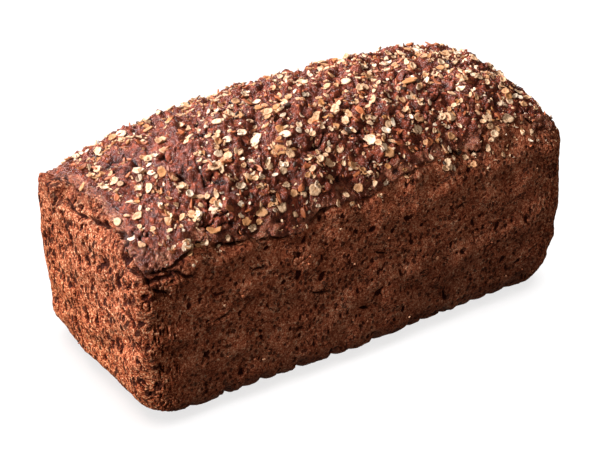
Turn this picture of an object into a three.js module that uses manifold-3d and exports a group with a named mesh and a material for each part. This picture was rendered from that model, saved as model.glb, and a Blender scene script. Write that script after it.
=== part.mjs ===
// A dark rye tin loaf. Its walls are as straight as the tin left them, its crown rose above the
// tin and tore from the walls in a ragged lip, and rolled oats are baked on to the crust.
// Millimetres: X runs along the loaf, Z up, and the origin is at the middle of the flat base.

import * as THREE from "three";
import { mergeVertices } from "three/addons/utils/BufferGeometryUtils.js";
import Module from "manifold-3d";

// The loaf as the tin shaped it
const LENGTH = 260;
const WIDTH = 114;
const RIM_HEIGHT = 95.5;
const CORNER_RADIUS = 18.5;
const BASE_ROUND = 17;
const END_TAPER = 7;
const TAPER_POWER = 3;
const FOOT_DRAW = { far: 2.7, from: -20, to: 120, below: 60 };

// The dough filled the tin's corner at -X and -Y better than the others, all but its foot and rim
const FILLED_CORNER = { radius: 8, from: 8, full: 36, until: 80, rimShare: 0.5 };

// The crown above the tin: it falls away slowly towards -X and steeply towards +X
const SHOULDER = 11.5;
const SHOULDER_CORNER_LOSS = 0.3;
const CROWN_RISE = 34.5;
const CROWN_SLOW_POWER = 2.5;
const CROWN_STEEP_POWER = 5.5;
const CROWN_WIDTH_POWER = 2.5;
const CROWN_SKEW = -0.16;
const RIM_CLIMB = 1.2;
const RIM_CLIMB_FOOT = 20;
const END_ARCH = 6.5;
const END_ARCH_POWER = 12;
const END_ARCH_FOOT = 40;

// The lip, where the crust tore: its level round the loaf is a share of the way up the profile
const LIP_LEVEL = 0.925;
const LIP_WANDER = { height: 0.015, shortest: 26, longest: 60, waves: 8, seed: 5 };
const LIP_GAP = 0.012;
const LIP_ROLL = 0.8;
const LIP_RECESS = 2.2;
const LIP_REACH = 0.05;
const END_LIP_LEVEL = 0.97;
const END_LIP_FROM = 0.9;
const FRONT_LIP_FROM = 0.8;
const FRONT_LIP_UNTIL = 0.85;
const FRONT_LIP_GONE = 0.97;
const FRONT_LIP_SAMPLES = 120;
const FRONT_LIP = [
  [-112, 0.9],
  [-99, 0.94],
  [-80, 0.91],
  [-60, 0.885],
  [-40, 0.855],
  [-28, 0.91],
  [2, 0.9],
  [20, 0.93],
  [62, 0.945],
  [71, 0.93],
  [78, 0.97],
  [96, 0.985],
];

// Unevenness: how far it moves the surface, and the shortest and longest of its waves
const SWAY = { height: 0.8, shortest: 60, longest: 140, waves: 6, seed: 37 };
const WALL_LUMPS = { height: 0.55, shortest: 14, longest: 30, waves: 14, seed: 34 };
const CROWN_LUMPS = { height: 1.0, shortest: 13, longest: 26, waves: 16, seed: 31 };
const LUMPS_FADE = 12;

// Rolled oats: a flake's place is its X and the angle at which the crown is met from the heart line
const HEART_HEIGHT = 60;
const FLAKE_SEED = 101;
const FLAKE_COUNT = 130;
const FLAKE_SIDES = 6;
const FLAKE_LONGEST = 6.4;
const FLAKE_SHORTEST = 4.4;
const FLAKE_NARROWEST = 0.68;
const FLAKE_ROUNDEST = 0.97;
const FLAKE_SINK = 1.1;
const FLAKE_RISE = 0.85;
const FLAKE_TOP_SHARE = 0.86;
const FLAKE_CURL = 0.5;
const FLAKE_TILT = 0.22;
const FLAKE_SPACING = 1.12;
const FLAKE_END_MARGIN = 9;
const FLAKE_LEAN = 57;
const FLAKE_FULL_LEAN = 40;
const FLAKE_EDGE_SHARE = 0.2;

// The flakes that stand out, mostly along the shoulder: X, lean, turn, length and width
const BOLD_FLAKES = [
  [-85, -52, 40, 7.3, 6.9],
  [-90, -56, 10, 4.4, 4.1],
  [-102, -55, 80, 5, 4.4],
  [-81, -44, 20, 5.6, 4.6],
  [-72, -27, 10, 8.6, 5.2],
  [-120, -43, 60, 5.6, 4.6],
  [-119, -49, 100, 5.4, 3.6],
  [-58, -51, 110, 6.8, 5.8],
  [-48, -51, 95, 7.8, 5.4],
  [-67, -53, 5, 5, 4.2],
  [-39, -48, 0, 4.6, 4.4],
  [-34, -49, 60, 4.6, 4.2],
  [-28, -49, 30, 7, 6.4],
  [-17, -58, 70, 4.8, 3.4],
  [-4, -54, 80, 5.4, 4.6],
  [-38, -29, 160, 8.4, 6.2],
  [-44, -20, 30, 8.8, 5.2],
  [-12, -21, 20, 8, 4.8],
  [10, -37, 120, 6.8, 5.8],
  [16, -44, 100, 6.6, 5.6],
  [37, -38, 20, 7.6, 5.8],
  [41, -34, 30, 8, 5.4],
  [60, -37, 0, 7, 4.8],
  [48, -17, 170, 8.8, 6.4],
  [80, -42, 100, 6.2, 5.6],
  [92, -45, 150, 7.2, 5.4],
  [80, -50, 0, 5, 4],
];

// Cracks in the walls, by the wall, the place along it, the height, the length and the slope
const CRACK_GAPE = 0.9;
const CRACK_DEPTH = 3;
const CRACKS = [
  { wall: "front", along: -108, height: 85, length: 14, slope: -28 },
  { wall: "front", along: -117, height: 78, length: 9, slope: -16 },
  { wall: "front", along: -86, height: 56, length: 13, slope: 18 },
  { wall: "front", along: -29, height: 48, length: 13, slope: -18 },
  { wall: "end", along: 17, height: 93, length: 17, slope: 8 },
  { wall: "end", along: -35, height: 96, length: 15, slope: -24 },
  { wall: "end", along: -44, height: 86, length: 10, slope: 50 },
];

// The ledge of crust that broke off at the rim of the end wall at -X
const LEDGE = { x: -123.7, y: 31.5, z: 91.6, deep: 12, long: 15, high: 16, turn: -8 };

// Grooves that the wires of a cooling rack pressed across the underside
const WIRE_FIRST = -82.5;
const WIRE_STEP = 21.7;
const WIRE_COUNT = 8;
const WIRE_RADIUS = 2.7;
const WIRE_BELOW = 0.5;
const WIRE_SIDES = 6;

// Where the wires' grooves run out through the rounded foot of the walls
const NOTCH_ANGLE = 35;
const NOTCH_DEPTH = 4;
const NOTCH_LENGTH = 7;

// Gas holes that broke the wall
const PIT_SEED = 211;
const PIT_COUNT = 10;
const PIT_SMALLEST = 1.4;
const PIT_LARGEST = 2.4;
const PIT_STRETCH = 1.7;
const PIT_LOW = 18;
const PIT_HIGH = 84;
const PITS_ON_ENDS = 0.45;

// The grid that carries the form
const CELLS_ALONG = 36;
const CELLS_ACROSS = 16;
const CELLS_UP = 16;
const LIP_ROW = 13;
const SIMPLIFY = 0.02;

const CRUST_COLOUR = 0x4a2a1e;

const wasm = await Module();
wasm.setup();

// Draws from 0 up to 1 that start afresh from a seed. One run of draws ends before the next starts.
function seeded(seed) {
  THREE.MathUtils.seededRandom(seed);
  return () => THREE.MathUtils.seededRandom();
}

// A smooth uneven field, from waves of many directions and lengths.
function unevenness({ height, shortest, longest, waves, seed }) {
  const draw = seeded(seed);
  const parts = [];
  for (let i = 0; i < waves; i++) {
    const turn = 2 * Math.PI * draw();
    const rise = 2 * draw() - 1;
    const flat = Math.sqrt(1 - rise * rise);
    const length = shortest + (longest - shortest) * draw();
    const direction = new THREE.Vector3(flat * Math.cos(turn), flat * Math.sin(turn), rise);
    parts.push({ wave: direction.multiplyScalar((2 * Math.PI) / length), phase: 2 * Math.PI * draw() });
  }
  const scale = height * Math.sqrt(2 / waves);
  return (point) => scale * parts.reduce((sum, p) => sum + Math.sin(p.wave.dot(point) + p.phase), 0);
}

const sway = unevenness(SWAY);
const wallLumps = unevenness(WALL_LUMPS);
const crownLumps = unevenness(CROWN_LUMPS);
const lipWander = unevenness(LIP_WANDER);
const frontLipCurve = new THREE.SplineCurve(FRONT_LIP.map(([x, level]) => new THREE.Vector2(x, level)));
const frontLip = frontLipCurve.getPoints(FRONT_LIP_SAMPLES);

// The level of the lip on the wall that faces -Y, from its named points.
function frontLipLevel(x) {
  const after = frontLip.findIndex((p) => p.x > x);
  if (after === 0) return frontLip[0].y;
  if (after < 0) return frontLip.at(-1).y;
  const [a, b] = [frontLip[after - 1], frontLip[after]];
  return THREE.MathUtils.mapLinear(x, a.x, b.x, a.y, b.y);
}

// The level of the lip at a place round the loaf, given by the box's own u and v from -1 to 1.
function lipLevel(u, v) {
  const point = new THREE.Vector3((u * LENGTH) / 2, (v * WIDTH) / 2, RIM_HEIGHT);
  const onEnd = THREE.MathUtils.smoothstep(Math.abs(u), END_LIP_FROM, 1) * (1 - v * v);
  const level = THREE.MathUtils.lerp(LIP_LEVEL + lipWander(point), END_LIP_LEVEL, onEnd);
  const nearCorner = THREE.MathUtils.smoothstep(Math.abs(u), FRONT_LIP_UNTIL, FRONT_LIP_GONE);
  const onFront = THREE.MathUtils.smoothstep(-v, FRONT_LIP_FROM, 1) * (1 - nearCorner);
  return THREE.MathUtils.lerp(level, frontLipLevel(point.x), onFront);
}

// The loaf's side profile: how far it is inside the outline, and its height, a share of the way up.
function profileAt(share) {
  const wall = RIM_HEIGHT - SHOULDER - BASE_ROUND;
  const baseArc = (BASE_ROUND * Math.PI) / 2;
  const along = share * (baseArc + wall + (SHOULDER * Math.PI) / 2);
  if (along < baseArc) {
    const angle = along / BASE_ROUND;
    return { inset: BASE_ROUND * (1 - Math.sin(angle)), z: BASE_ROUND * (1 - Math.cos(angle)), crown: 0 };
  }
  if (along < baseArc + wall) return { inset: 0, z: BASE_ROUND + along - baseArc, crown: 0 };
  const angle = (along - baseArc - wall) / SHOULDER;
  return {
    inset: SHOULDER * (1 - Math.cos(angle)),
    z: RIM_HEIGHT - SHOULDER + SHOULDER * Math.sin(angle),
    crown: Math.sin(angle),
  };
}

function cornerRadius(u, v, z) {
  if (u > 0 || v > 0) return CORNER_RADIUS;
  const { radius, from, full, until, rimShare } = FILLED_CORNER;
  const nearRim = THREE.MathUtils.smoothstep(z, until, RIM_HEIGHT);
  const filled = THREE.MathUtils.smoothstep(z, from, full) * THREE.MathUtils.lerp(1, rimShare, nearRim);
  return THREE.MathUtils.lerp(CORNER_RADIUS, radius, filled);
}

// A point of the rounded oblong outline, for u and v on the edge of a square from -1 to 1.
function outlinePoint(u, v, inset, z) {
  const taper = Math.max(0, 1 - z / RIM_HEIGHT) ** TAPER_POWER;
  const halfLength = LENGTH / 2 - inset - END_TAPER * taper;
  const halfWidth = WIDTH / 2 - inset;
  const corner = cornerRadius(u, v, z) - SHOULDER_CORNER_LOSS * inset;
  const point = new THREE.Vector2(u * halfLength, v * halfWidth);
  const inner = point.clone();
  inner.x = THREE.MathUtils.clamp(inner.x, corner - halfLength, halfLength - corner);
  inner.y = THREE.MathUtils.clamp(inner.y, corner - halfWidth, halfWidth - corner);
  return point.sub(inner).setLength(corner).add(inner);
}

function crownHeight(x, y) {
  const along = THREE.MathUtils.clamp((2 * x) / LENGTH, -1, 1);
  const across = Math.min(1, Math.abs((2 * y) / WIDTH));
  const alongX = 1 - Math.abs(along) ** (along > 0 ? CROWN_STEEP_POWER : CROWN_SLOW_POWER);
  return CROWN_RISE * alongX * (1 - across ** CROWN_WIDTH_POWER) * (1 + CROWN_SKEW * along);
}

// How much the end wall at -X rises at its middle, where the dough pushed it above the tin.
function endArch(x, y, z) {
  const nearEnd = THREE.MathUtils.clamp((-2 * x) / LENGTH, 0, 1) ** END_ARCH_POWER;
  const middle = 1 - Math.min(1, Math.abs((2 * y) / WIDTH)) ** 2;
  return END_ARCH * nearEnd * middle * THREE.MathUtils.smoothstep(z, END_ARCH_FOOT, RIM_HEIGHT);
}

// A row's share of the way up the profile: two rows close together follow the lip.
function shareOfRow(row, lip) {
  if (row < LIP_ROW) return ((lip - LIP_GAP) * row) / (LIP_ROW - 1);
  return lip + ((1 - lip) * (row - LIP_ROW)) / (CELLS_UP - LIP_ROW);
}

// How far the torn lip stands out above the tear, and the wall falls back below it.
function lipOffset(row, share, lip) {
  const away = Math.abs(share - lip) / LIP_REACH;
  const fade = Math.exp(-away * away);
  return row < LIP_ROW ? -LIP_RECESS * fade : LIP_ROLL * fade;
}

// The tin's form of one vertex of the box, before it is made uneven.
function formOf(vertex) {
  const u = (2 * vertex.x) / LENGTH;
  const v = (2 * vertex.y) / WIDTH;
  const row = Math.round((vertex.z / RIM_HEIGHT + 0.5) * CELLS_UP);
  const reach = Math.max(Math.abs(u), Math.abs(v));
  if (reach < 1e-6) return { point: new THREE.Vector3(0, 0, row ? RIM_HEIGHT + CROWN_RISE : 0), lift: 0 };
  const lip = lipLevel(u / reach, v / reach);
  const onCap = row === 0 || row === CELLS_UP;
  const share = onCap ? row / CELLS_UP : shareOfRow(row, lip);
  const { inset, z, crown } = profileAt(share);
  const outline = outlinePoint(u / reach, v / reach, inset, z);
  if (onCap) outline.multiplyScalar(reach);
  const top = z + crown * crownHeight(outline.x, outline.y) + endArch(outline.x, outline.y, z);
  const lift = onCap ? 0 : lipOffset(row, share, lip);
  return { point: new THREE.Vector3(outline.x, outline.y, top), lift };
}

// How the loaf settled: the foot of the front wall draws in and the rim climbs a little towards +X.
function settled(point) {
  const { far, from, to, below } = FOOT_DRAW;
  const low = 1 - THREE.MathUtils.smoothstep(point.z, 0, below);
  if (point.y < 0) point.y += far * low * THREE.MathUtils.smoothstep(point.x, from, to);
  const high = THREE.MathUtils.smoothstep(point.z, RIM_CLIMB_FOOT, RIM_HEIGHT);
  point.z += RIM_CLIMB * high * ((2 * point.x) / LENGTH);
  return point;
}

// The bare loaf: a fine box moved on to the loaf's form, then made uneven along its normals.
function loafGeometry() {
  const box = new THREE.BoxGeometry(LENGTH, WIDTH, RIM_HEIGHT, CELLS_ALONG, CELLS_ACROSS, CELLS_UP);
  box.deleteAttribute("normal");
  box.deleteAttribute("uv");
  const geometry = mergeVertices(box);
  const places = geometry.getAttribute("position");
  const forms = [];
  const vertex = new THREE.Vector3();
  for (let i = 0; i < places.count; i++) {
    const form = formOf(vertex.fromBufferAttribute(places, i));
    forms.push(form);
    places.setXYZ(i, ...form.point);
  }
  geometry.computeVertexNormals();
  const normal = new THREE.Vector3();
  forms.forEach(({ point, lift }, i) => {
    normal.fromBufferAttribute(geometry.getAttribute("normal"), i);
    const above = THREE.MathUtils.smoothstep(point.z, RIM_HEIGHT - SHOULDER, RIM_HEIGHT);
    const standing = THREE.MathUtils.smoothstep(point.z, 0, LUMPS_FADE);
    const lumps = THREE.MathUtils.lerp(wallLumps(point), crownLumps(point), above);
    const raised = standing * (sway(point) + lumps + lift);
    places.setXYZ(i, ...settled(point.addScaledVector(normal, raised)));
  });
  geometry.deleteAttribute("normal");
  return geometry;
}

// A closed three.js geometry as a solid that can be joined and cut.
function solidOf(geometry) {
  const bare = geometry.clone();
  bare.deleteAttribute("normal");
  bare.deleteAttribute("uv");
  const merged = mergeVertices(bare, 1e-4);
  const mesh = new wasm.Mesh({
    numProp: 3,
    vertProperties: new Float32Array(merged.getAttribute("position").array),
    triVerts: new Uint32Array(merged.index.array),
  });
  return new wasm.Manifold(mesh);
}

function geometryOf(solid) {
  const mesh = solid.getMesh();
  const geometry = new THREE.BufferGeometry();
  geometry.setAttribute("position", new THREE.BufferAttribute(mesh.vertProperties, mesh.numProp));
  geometry.setIndex(new THREE.BufferAttribute(mesh.triVerts, 1));
  geometry.computeVertexNormals();
  return geometry;
}

// Where a line from outside first meets the loaf.
function meet(loaf, from, towards) {
  const ray = new THREE.Raycaster(from, towards.clone().sub(from).normalize());
  const [hit] = ray.intersectObject(loaf);
  return { point: hit.point, normal: hit.face.normal };
}

function boldFlake([x, lean, turn, length, width]) {
  return { x, lean, turn: THREE.MathUtils.degToRad(turn), oval: width / length, tilt: 0, length };
}

// Whether a flake at this place leaves a clear space round every flake before it.
function hasRoom(places, { x, lean, length }) {
  return places.every((other) => {
    const across = HEART_HEIGHT * THREE.MathUtils.degToRad(other.lean - lean);
    return Math.hypot(other.x - x, across) > (FLAKE_SPACING * (other.length + length)) / 2;
  });
}

// The places of the flakes: the bold ones, then others drawn at random from the largest down,
// fewer of them where the crust turns down towards the lip.
function flakePlaces() {
  const draw = seeded(FLAKE_SEED);
  const places = BOLD_FLAKES.map(boldFlake);
  const halfSpan = LENGTH / 2 - FLAKE_END_MARGIN;
  while (places.length < FLAKE_COUNT) {
    const x = halfSpan * (2 * draw() - 1);
    const lean = FLAKE_LEAN * (2 * draw() - 1);
    const turn = Math.PI * draw();
    const oval = FLAKE_NARROWEST + (FLAKE_ROUNDEST - FLAKE_NARROWEST) * draw();
    const tilt = FLAKE_TILT * (2 * draw() - 1);
    const edge = THREE.MathUtils.smoothstep(Math.abs(lean), FLAKE_FULL_LEAN, FLAKE_LEAN);
    const kept = draw() < THREE.MathUtils.lerp(1, FLAKE_EDGE_SHARE, edge);
    const length = THREE.MathUtils.lerp(FLAKE_LONGEST, FLAKE_SHORTEST, places.length / FLAKE_COUNT);
    const place = { x, lean, turn, oval, tilt, length };
    if (kept && hasRoom(places, place)) places.push(place);
  }
  return places;
}

// One flake: a thin oval disc, a little smaller above than below, with its ends curled up.
function flakeGeometry({ length, oval }) {
  const half = length / 2;
  const disc = new THREE.CylinderGeometry(FLAKE_TOP_SHARE * half, half, FLAKE_SINK + FLAKE_RISE, FLAKE_SIDES);
  disc.rotateX(Math.PI / 2);
  disc.translate(0, 0, (FLAKE_RISE - FLAKE_SINK) / 2);
  disc.scale(1, oval, 1);
  const places = disc.getAttribute("position");
  for (let i = 0; i < places.count; i++) {
    const bend = FLAKE_CURL * (places.getX(i) / half) ** 2;
    if (places.getZ(i) > 0) places.setZ(i, places.getZ(i) + bend);
  }
  return disc;
}

function flakeSolid(loaf, place) {
  const lean = THREE.MathUtils.degToRad(place.lean);
  const heart = new THREE.Vector3(place.x, 0, HEART_HEIGHT);
  const outside = new THREE.Vector3(0, Math.sin(lean), Math.cos(lean)).multiplyScalar(LENGTH).add(heart);
  const { point, normal } = meet(loaf, outside, heart);
  const geometry = flakeGeometry(place);
  geometry.rotateZ(place.turn);
  geometry.rotateY(place.tilt);
  const upright = new THREE.Quaternion().setFromUnitVectors(new THREE.Vector3(0, 0, 1), normal);
  geometry.applyQuaternion(upright);
  geometry.translate(point.x, point.y, point.z);
  return solidOf(geometry);
}

// A gas hole in one of the four walls, longer than it is high.
function pitSolid(loaf, draw) {
  const onEnd = draw() < PITS_ON_ENDS;
  const side = Math.sign(draw() - 0.5);
  const along = 2 * draw() - 1;
  const height = THREE.MathUtils.lerp(PIT_LOW, PIT_HIGH, draw());
  const radius = THREE.MathUtils.lerp(PIT_SMALLEST, PIT_LARGEST, draw());
  const wallRun = (onEnd ? WIDTH : LENGTH) / 2 - CORNER_RADIUS;
  const place = onEnd ? [0, along * wallRun, height] : [along * wallRun, 0, height];
  const inside = new THREE.Vector3(...place);
  const outside = inside.clone();
  outside.setComponent(onEnd ? 0 : 1, side * LENGTH);
  const hole = new THREE.IcosahedronGeometry(radius, 0);
  hole.scale(onEnd ? 1 : PIT_STRETCH, onEnd ? PIT_STRETCH : 1, 1);
  const { point } = meet(loaf, outside, inside);
  hole.translate(point.x, point.y, point.z);
  return solidOf(hole);
}

// A crack: a long thin wedge, pressed into the front wall or the end wall at -X.
function crackSolid({ wall, along, height, length, slope }) {
  const wedge = new THREE.OctahedronGeometry(1);
  wedge.scale(length / 2, CRACK_DEPTH, CRACK_GAPE);
  wedge.rotateY(THREE.MathUtils.degToRad(-slope));
  if (wall === "end") wedge.rotateZ(-Math.PI / 2);
  const place = wall === "end" ? [-LENGTH / 2, along, height] : [along, -WIDTH / 2, height];
  wedge.translate(...place);
  return solidOf(wedge);
}

function ledgeSolid() {
  const block = new THREE.BoxGeometry(LEDGE.deep, LEDGE.long, LEDGE.high);
  block.rotateX(THREE.MathUtils.degToRad(LEDGE.turn));
  block.translate(LEDGE.x, LEDGE.y, LEDGE.z);
  return solidOf(block);
}

// The groove of one wire, across the whole underside.
function wireSolid(number) {
  const wire = new THREE.CylinderGeometry(WIRE_RADIUS, WIRE_RADIUS, LENGTH, WIRE_SIDES);
  wire.translate(WIRE_FIRST + WIRE_STEP * number, 0, -WIRE_BELOW);
  return solidOf(wire);
}

// The notch in the rounded foot of one side wall where a wire's groove runs out.
function notchSolid(number, side) {
  const angle = THREE.MathUtils.degToRad(NOTCH_ANGLE);
  const notch = new THREE.OctahedronGeometry(1);
  notch.scale(WIRE_RADIUS, NOTCH_LENGTH, NOTCH_DEPTH);
  notch.rotateX(-side * angle);
  const outward = WIDTH / 2 - BASE_ROUND + BASE_ROUND * Math.sin(angle);
  const upward = BASE_ROUND * (1 - Math.cos(angle));
  notch.translate(WIRE_FIRST + WIRE_STEP * number, side * outward, upward);
  return solidOf(notch);
}

function bakedLoaf() {
  const bare = loafGeometry();
  const loaf = new THREE.Mesh(bare);
  const drawPit = seeded(PIT_SEED);
  const pits = Array.from({ length: PIT_COUNT }, () => pitSolid(loaf, drawPit));
  const flakes = flakePlaces().map((place) => flakeSolid(loaf, place));
  const core = solidOf(bare).simplify(SIMPLIFY).add(ledgeSolid());
  const wires = Array.from({ length: WIRE_COUNT }, (_, number) => wireSolid(number));
  const notches = wires.flatMap((_, number) => [notchSolid(number, -1), notchSolid(number, 1)]);
  const cutters = [...pits, ...wires, ...notches, ...CRACKS.map(crackSolid)];
  const pitted = cutters.reduce((rest, cutter) => rest.subtract(cutter), core);
  return geometryOf(flakes.reduce((whole, flake) => whole.add(flake), pitted));
}

const crust = new THREE.MeshStandardMaterial({ color: CRUST_COLOUR, roughness: 0.8, metalness: 0 });
const loaf = new THREE.Mesh(bakedLoaf(), crust);
loaf.name = "loaf";

const tinLoaf = new THREE.Group();
tinLoaf.add(loaf);

export default tinLoaf;
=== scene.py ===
"""Looks for a dark rye tin loaf: its crust, what is baked on to it, the stage and the camera."""

import math

import bpy
import numpy as np
from bpy.props import FloatProperty, FloatVectorProperty, IntProperty, PointerProperty
from bpy.types import Operator, Panel, PropertyGroup
from mathutils import Matrix, Vector
from mathutils.bvhtree import BVHTree


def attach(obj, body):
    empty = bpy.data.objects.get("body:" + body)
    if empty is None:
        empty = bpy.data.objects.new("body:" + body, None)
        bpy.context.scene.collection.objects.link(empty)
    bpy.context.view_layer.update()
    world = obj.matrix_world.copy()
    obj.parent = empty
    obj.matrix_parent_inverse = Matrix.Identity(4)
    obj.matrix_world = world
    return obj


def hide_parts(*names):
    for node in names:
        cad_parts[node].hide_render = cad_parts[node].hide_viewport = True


bl_info = {
    "name": "Tin loaf",
    "version": (1, 0, 0),
    "blender": (4, 5, 0),
    "location": "3D View > Sidebar > Loaf",
    "description": "Builds the crust, oat flakes, bran and stage of a dark rye tin loaf",
    "category": "Object",
}

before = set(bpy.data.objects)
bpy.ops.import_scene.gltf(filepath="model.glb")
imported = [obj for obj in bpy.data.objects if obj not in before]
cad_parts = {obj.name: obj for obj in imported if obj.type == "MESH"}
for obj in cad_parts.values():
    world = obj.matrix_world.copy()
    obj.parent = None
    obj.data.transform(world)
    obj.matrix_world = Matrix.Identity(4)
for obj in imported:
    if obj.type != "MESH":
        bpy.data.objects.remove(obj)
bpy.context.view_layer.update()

MM = 0.001
TAU = 2 * math.pi

# Where the long walls pass into the ends, as a distance from the middle
END_STARTS = 100
END_FULL = 126
# Which points are on the front wall and on the -X end, for the named cracks
FRONT_WALL_BELOW_Y = -40
END_WALL_BELOW_X = -110

# The form that the tin and the oven gave the loaf, in millimetres
END_TAPER = 7.0
TAPER_POWER = 3
DRAW_FAR = 2.7
DRAW_START = -20
DRAW_END = 120
DRAW_BELOW = 60
SHOULDER_CORNER_LOSS = 0.3
CROWN_SLOW_POWER = 2.5
CROWN_STEEP_POWER = 5.5
CROWN_WIDTH_POWER = 2.5
CROWN_SKEW = -0.16
RIM_CLIMB = 1.2
RIM_CLIMB_FOOT = 20
END_ARCH = 6.5
END_ARCH_POWER = 12
END_ARCH_FOOT = 40

# The torn lip, as shares of the way up the side profile
LIP_LEVEL = 0.925
LIP_OVERLAP = 0.004
LIP_RAGGED = 0.012
LIP_RAGGED_LENGTH = 14
LIP_REACH = 0.05
LIP_GROOVE = 0.022
LIP_THICKNESS = 4.0
END_LIP_LEVEL = 0.97
END_LIP_FROM = 0.9
FRONT_LIP_FROM = 0.8
FRONT_LIP_UNTIL = 0.85
FRONT_LIP_GONE = 0.97
FRONT_LIP_SAMPLES = 120
FRONT_LIP = (
    (-112, 0.9), (-99, 0.94), (-80, 0.91), (-60, 0.885), (-40, 0.855), (-28, 0.91),
    (2, 0.9), (20, 0.93), (62, 0.945), (71, 0.93), (78, 0.97), (96, 0.985),
)
# How hard the front lip tore, along the loaf
FRONT_TEAR = ((-130, 0.5), (-110, 1.0), (-62, 0.9), (-50, 1.3), (-28, 1.3), (-22, 0.5), (12, 0.3),
              (20, 0.7), (64, 0.8), (72, 1.3), (90, 1.0), (110, 0.4), (130, 0.4))

# Unevenness: height, shortest wave, longest wave, number of waves, seed
LIP_WANDER = (0.015, 26, 60, 8, 5)
SWAY = (0.8, 60, 140, 6, 37)
WALL_LUMPS = (0.55, 14, 30, 14, 34)
CROWN_LUMPS = (1.0, 13, 26, 16, 31)
LUMPS_FADE = 12

# Rows of the grid round the walls and up the crown's edge, as shares of the walls' height in cells
WALL_ROWS = 0.9
CROWN_ROWS = 0.1

# Grooves of a cooling rack's wires under the loaf
WIRE_FIRST = -82.5
WIRE_STEP = 21.7
WIRE_COUNT = 8
WIRE_RADIUS = 2.7
WIRE_BELOW = 0.5

# Notches that the wires left in the foot of the long walls: X and how deep
NOTCHES = (
    (-102, 0.4), (-82.6, 1.0), (-72, 0.35), (-61.3, 0.8), (-52, 0.3), (-40.6, 0.85), (-20.3, 0.8), (-10, 0.3),
    (4.5, 1.0), (26.8, 0.8), (37.6, 0.5), (49.6, 0.6), (60, 0.45), (71, 0.4), (81.4, 0.5), (94, 0.3),
)
NOTCH_DEPTH = 3.4
NOTCH_STEEP = 1.6
NOTCH_SLOW = 5.5
NOTCH_ANGLE = 35
NOTCH_FULL = 5.0
NOTCH_LENGTH = 15.0

# The foot: how far up the relief grows to its full height, and the share of the profile that is the base
FOOTING_FROM = 0.4
FOOTING_FULL = 5
BASE_SHARE = 0.02

# The broken ledge at the rim of the -X end, and how square it is
LEDGE_FROM = 24
LEDGE_UNTIL = 45
LEDGE_SQUARE = 1.1
LEDGE_BREAK = 1.0
LEDGE_FADE = 2.5

# The dough filled the tin's corner at -X and -Y better than the others, all but its foot and rim
FILLED_CORNER = 8
FILLED_FROM = 8
FILLED_FULL = 36
FILLED_UNTIL = 80
FILLED_AT_RIM = 0.5

# Cracks in the walls: wall, place along it, height, length and slope in degrees
CRACK_GAPE = 0.9
CRACK_DEPTH = 3.0
CRACKS = (
    ("front", -107, 86, 22, -33), ("front", -118, 80.4, 12, -33), ("front", -84, 54.5, 13, 18),
    ("front", -29, 48, 13, -18), ("end", 15, 96.5, 17, 8), ("end", 2, 96.5, 15, -8),
    ("end", -14, 99, 22, -8), ("end", -31, 100.5, 14, -2), ("end", -38.7, 96.7, 12, 70),
    ("end", -47, 91.2, 16, 13), ("end", -56, 87, 9, 46),
    ("end", 24, 92, 15, 60), ("end", 28, 82, 9, 72), ("front", -64, 74, 9, 12), ("front", 8, 58, 8, -30),
    ("front", 58, 70, 9, 15), ("front", -96, 34, 8, 75), ("front", -2, 30, 9, -14),
)
# Round holes where gas broke through: X, Y, Z and radius
HOLES = (
    (-123, 27, 106, 2.4), (-117, 18, 110, 2.6), (-121, -51, 93, 1.9), (-119, 42, 103, 1.8),
    (-124, -2, 101, 1.7), (-112, -56, 84, 1.5),
)
HOLE_DEPTH = 2.6
HOLE_LEAN = 0.3
# Pale crumbs on the front wall: place along it, height and length
FRONT_CRUMBS = ((43, 44, 2.2), (-62, 21, 2.0), (66, 92, 1.8), (-84, 60, 1.4), (-35, 71, 1.2), (12, 66, 1.3))

# Oat flakes: a flake's place is its X and its lean, the angle at which it is seen from the heart line
HEART_HEIGHT = 60
FLAKE_SEED = 101
FLAKES_IN_RELIEF = 130
FLAKE_LONGEST = 6.4
FLAKE_SHORTEST = 4.4
FLAKE_NARROWEST = 0.68
FLAKE_ROUNDEST = 0.97
FLAKE_TILT = 0.22
FLAKE_SPACING = 1.12
FLAKE_END_MARGIN = 9
FLAKE_LEAN = 57
FLAKE_FULL_LEAN = 40
FLAKE_EDGE_SHARE = 0.2
CLUMP_SIZE = 15.0
BETWEEN_CLUMPS = 0.25
SPARSE_FROM = 0.65
BARE_END = 14
TOPPED_END = 5
# How a topping is seated: the crown's distance from the heart line in heart heights, how far out its slope is felt
# as a share of its length, how much it follows the highest place under it, and where a cast line starts in metres
CROWN_DISTANCE = 1.2
SEAT_REACH = 0.35
SEAT_LIFT = 0.5
CAST_FROM = 0.3
# The listed flakes: X, lean, turn, length and width
BOLD_FLAKES = (
    (-85, -52, 40, 7.3, 6.9), (-90, -56, 10, 4.4, 4.1), (-102, -55, 80, 5, 4.4),
    (-81, -44, 20, 5.6, 4.6), (-72, -27, 10, 8.6, 5.2), (-120, -43, 60, 5.6, 4.6),
    (-119, -49, 100, 5.4, 3.6), (-58, -51, 110, 6.8, 5.8), (-48, -51, 95, 7.8, 5.4),
    (-67, -53, 5, 5, 4.2), (-39, -48, 0, 4.6, 4.4), (-34, -49, 60, 4.6, 4.2),
    (-28, -49, 30, 7, 6.4), (-17, -58, 70, 4.8, 3.4), (-4, -54, 80, 5.4, 4.6),
    (-38, -29, 160, 8.4, 6.2), (-44, -20, 30, 8.8, 5.2), (-12, -21, 20, 8, 4.8),
    (10, -37, 120, 6.8, 5.8), (16, -44, 100, 6.6, 5.6), (37, -38, 20, 7.6, 5.8),
    (41, -34, 30, 8, 5.4), (60, -37, 0, 7, 4.8), (48, -17, 170, 8.8, 6.4),
    (80, -42, 100, 6.2, 5.6), (92, -45, 150, 7.2, 5.4), (80, -50, 0, 5, 4),
)

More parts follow.
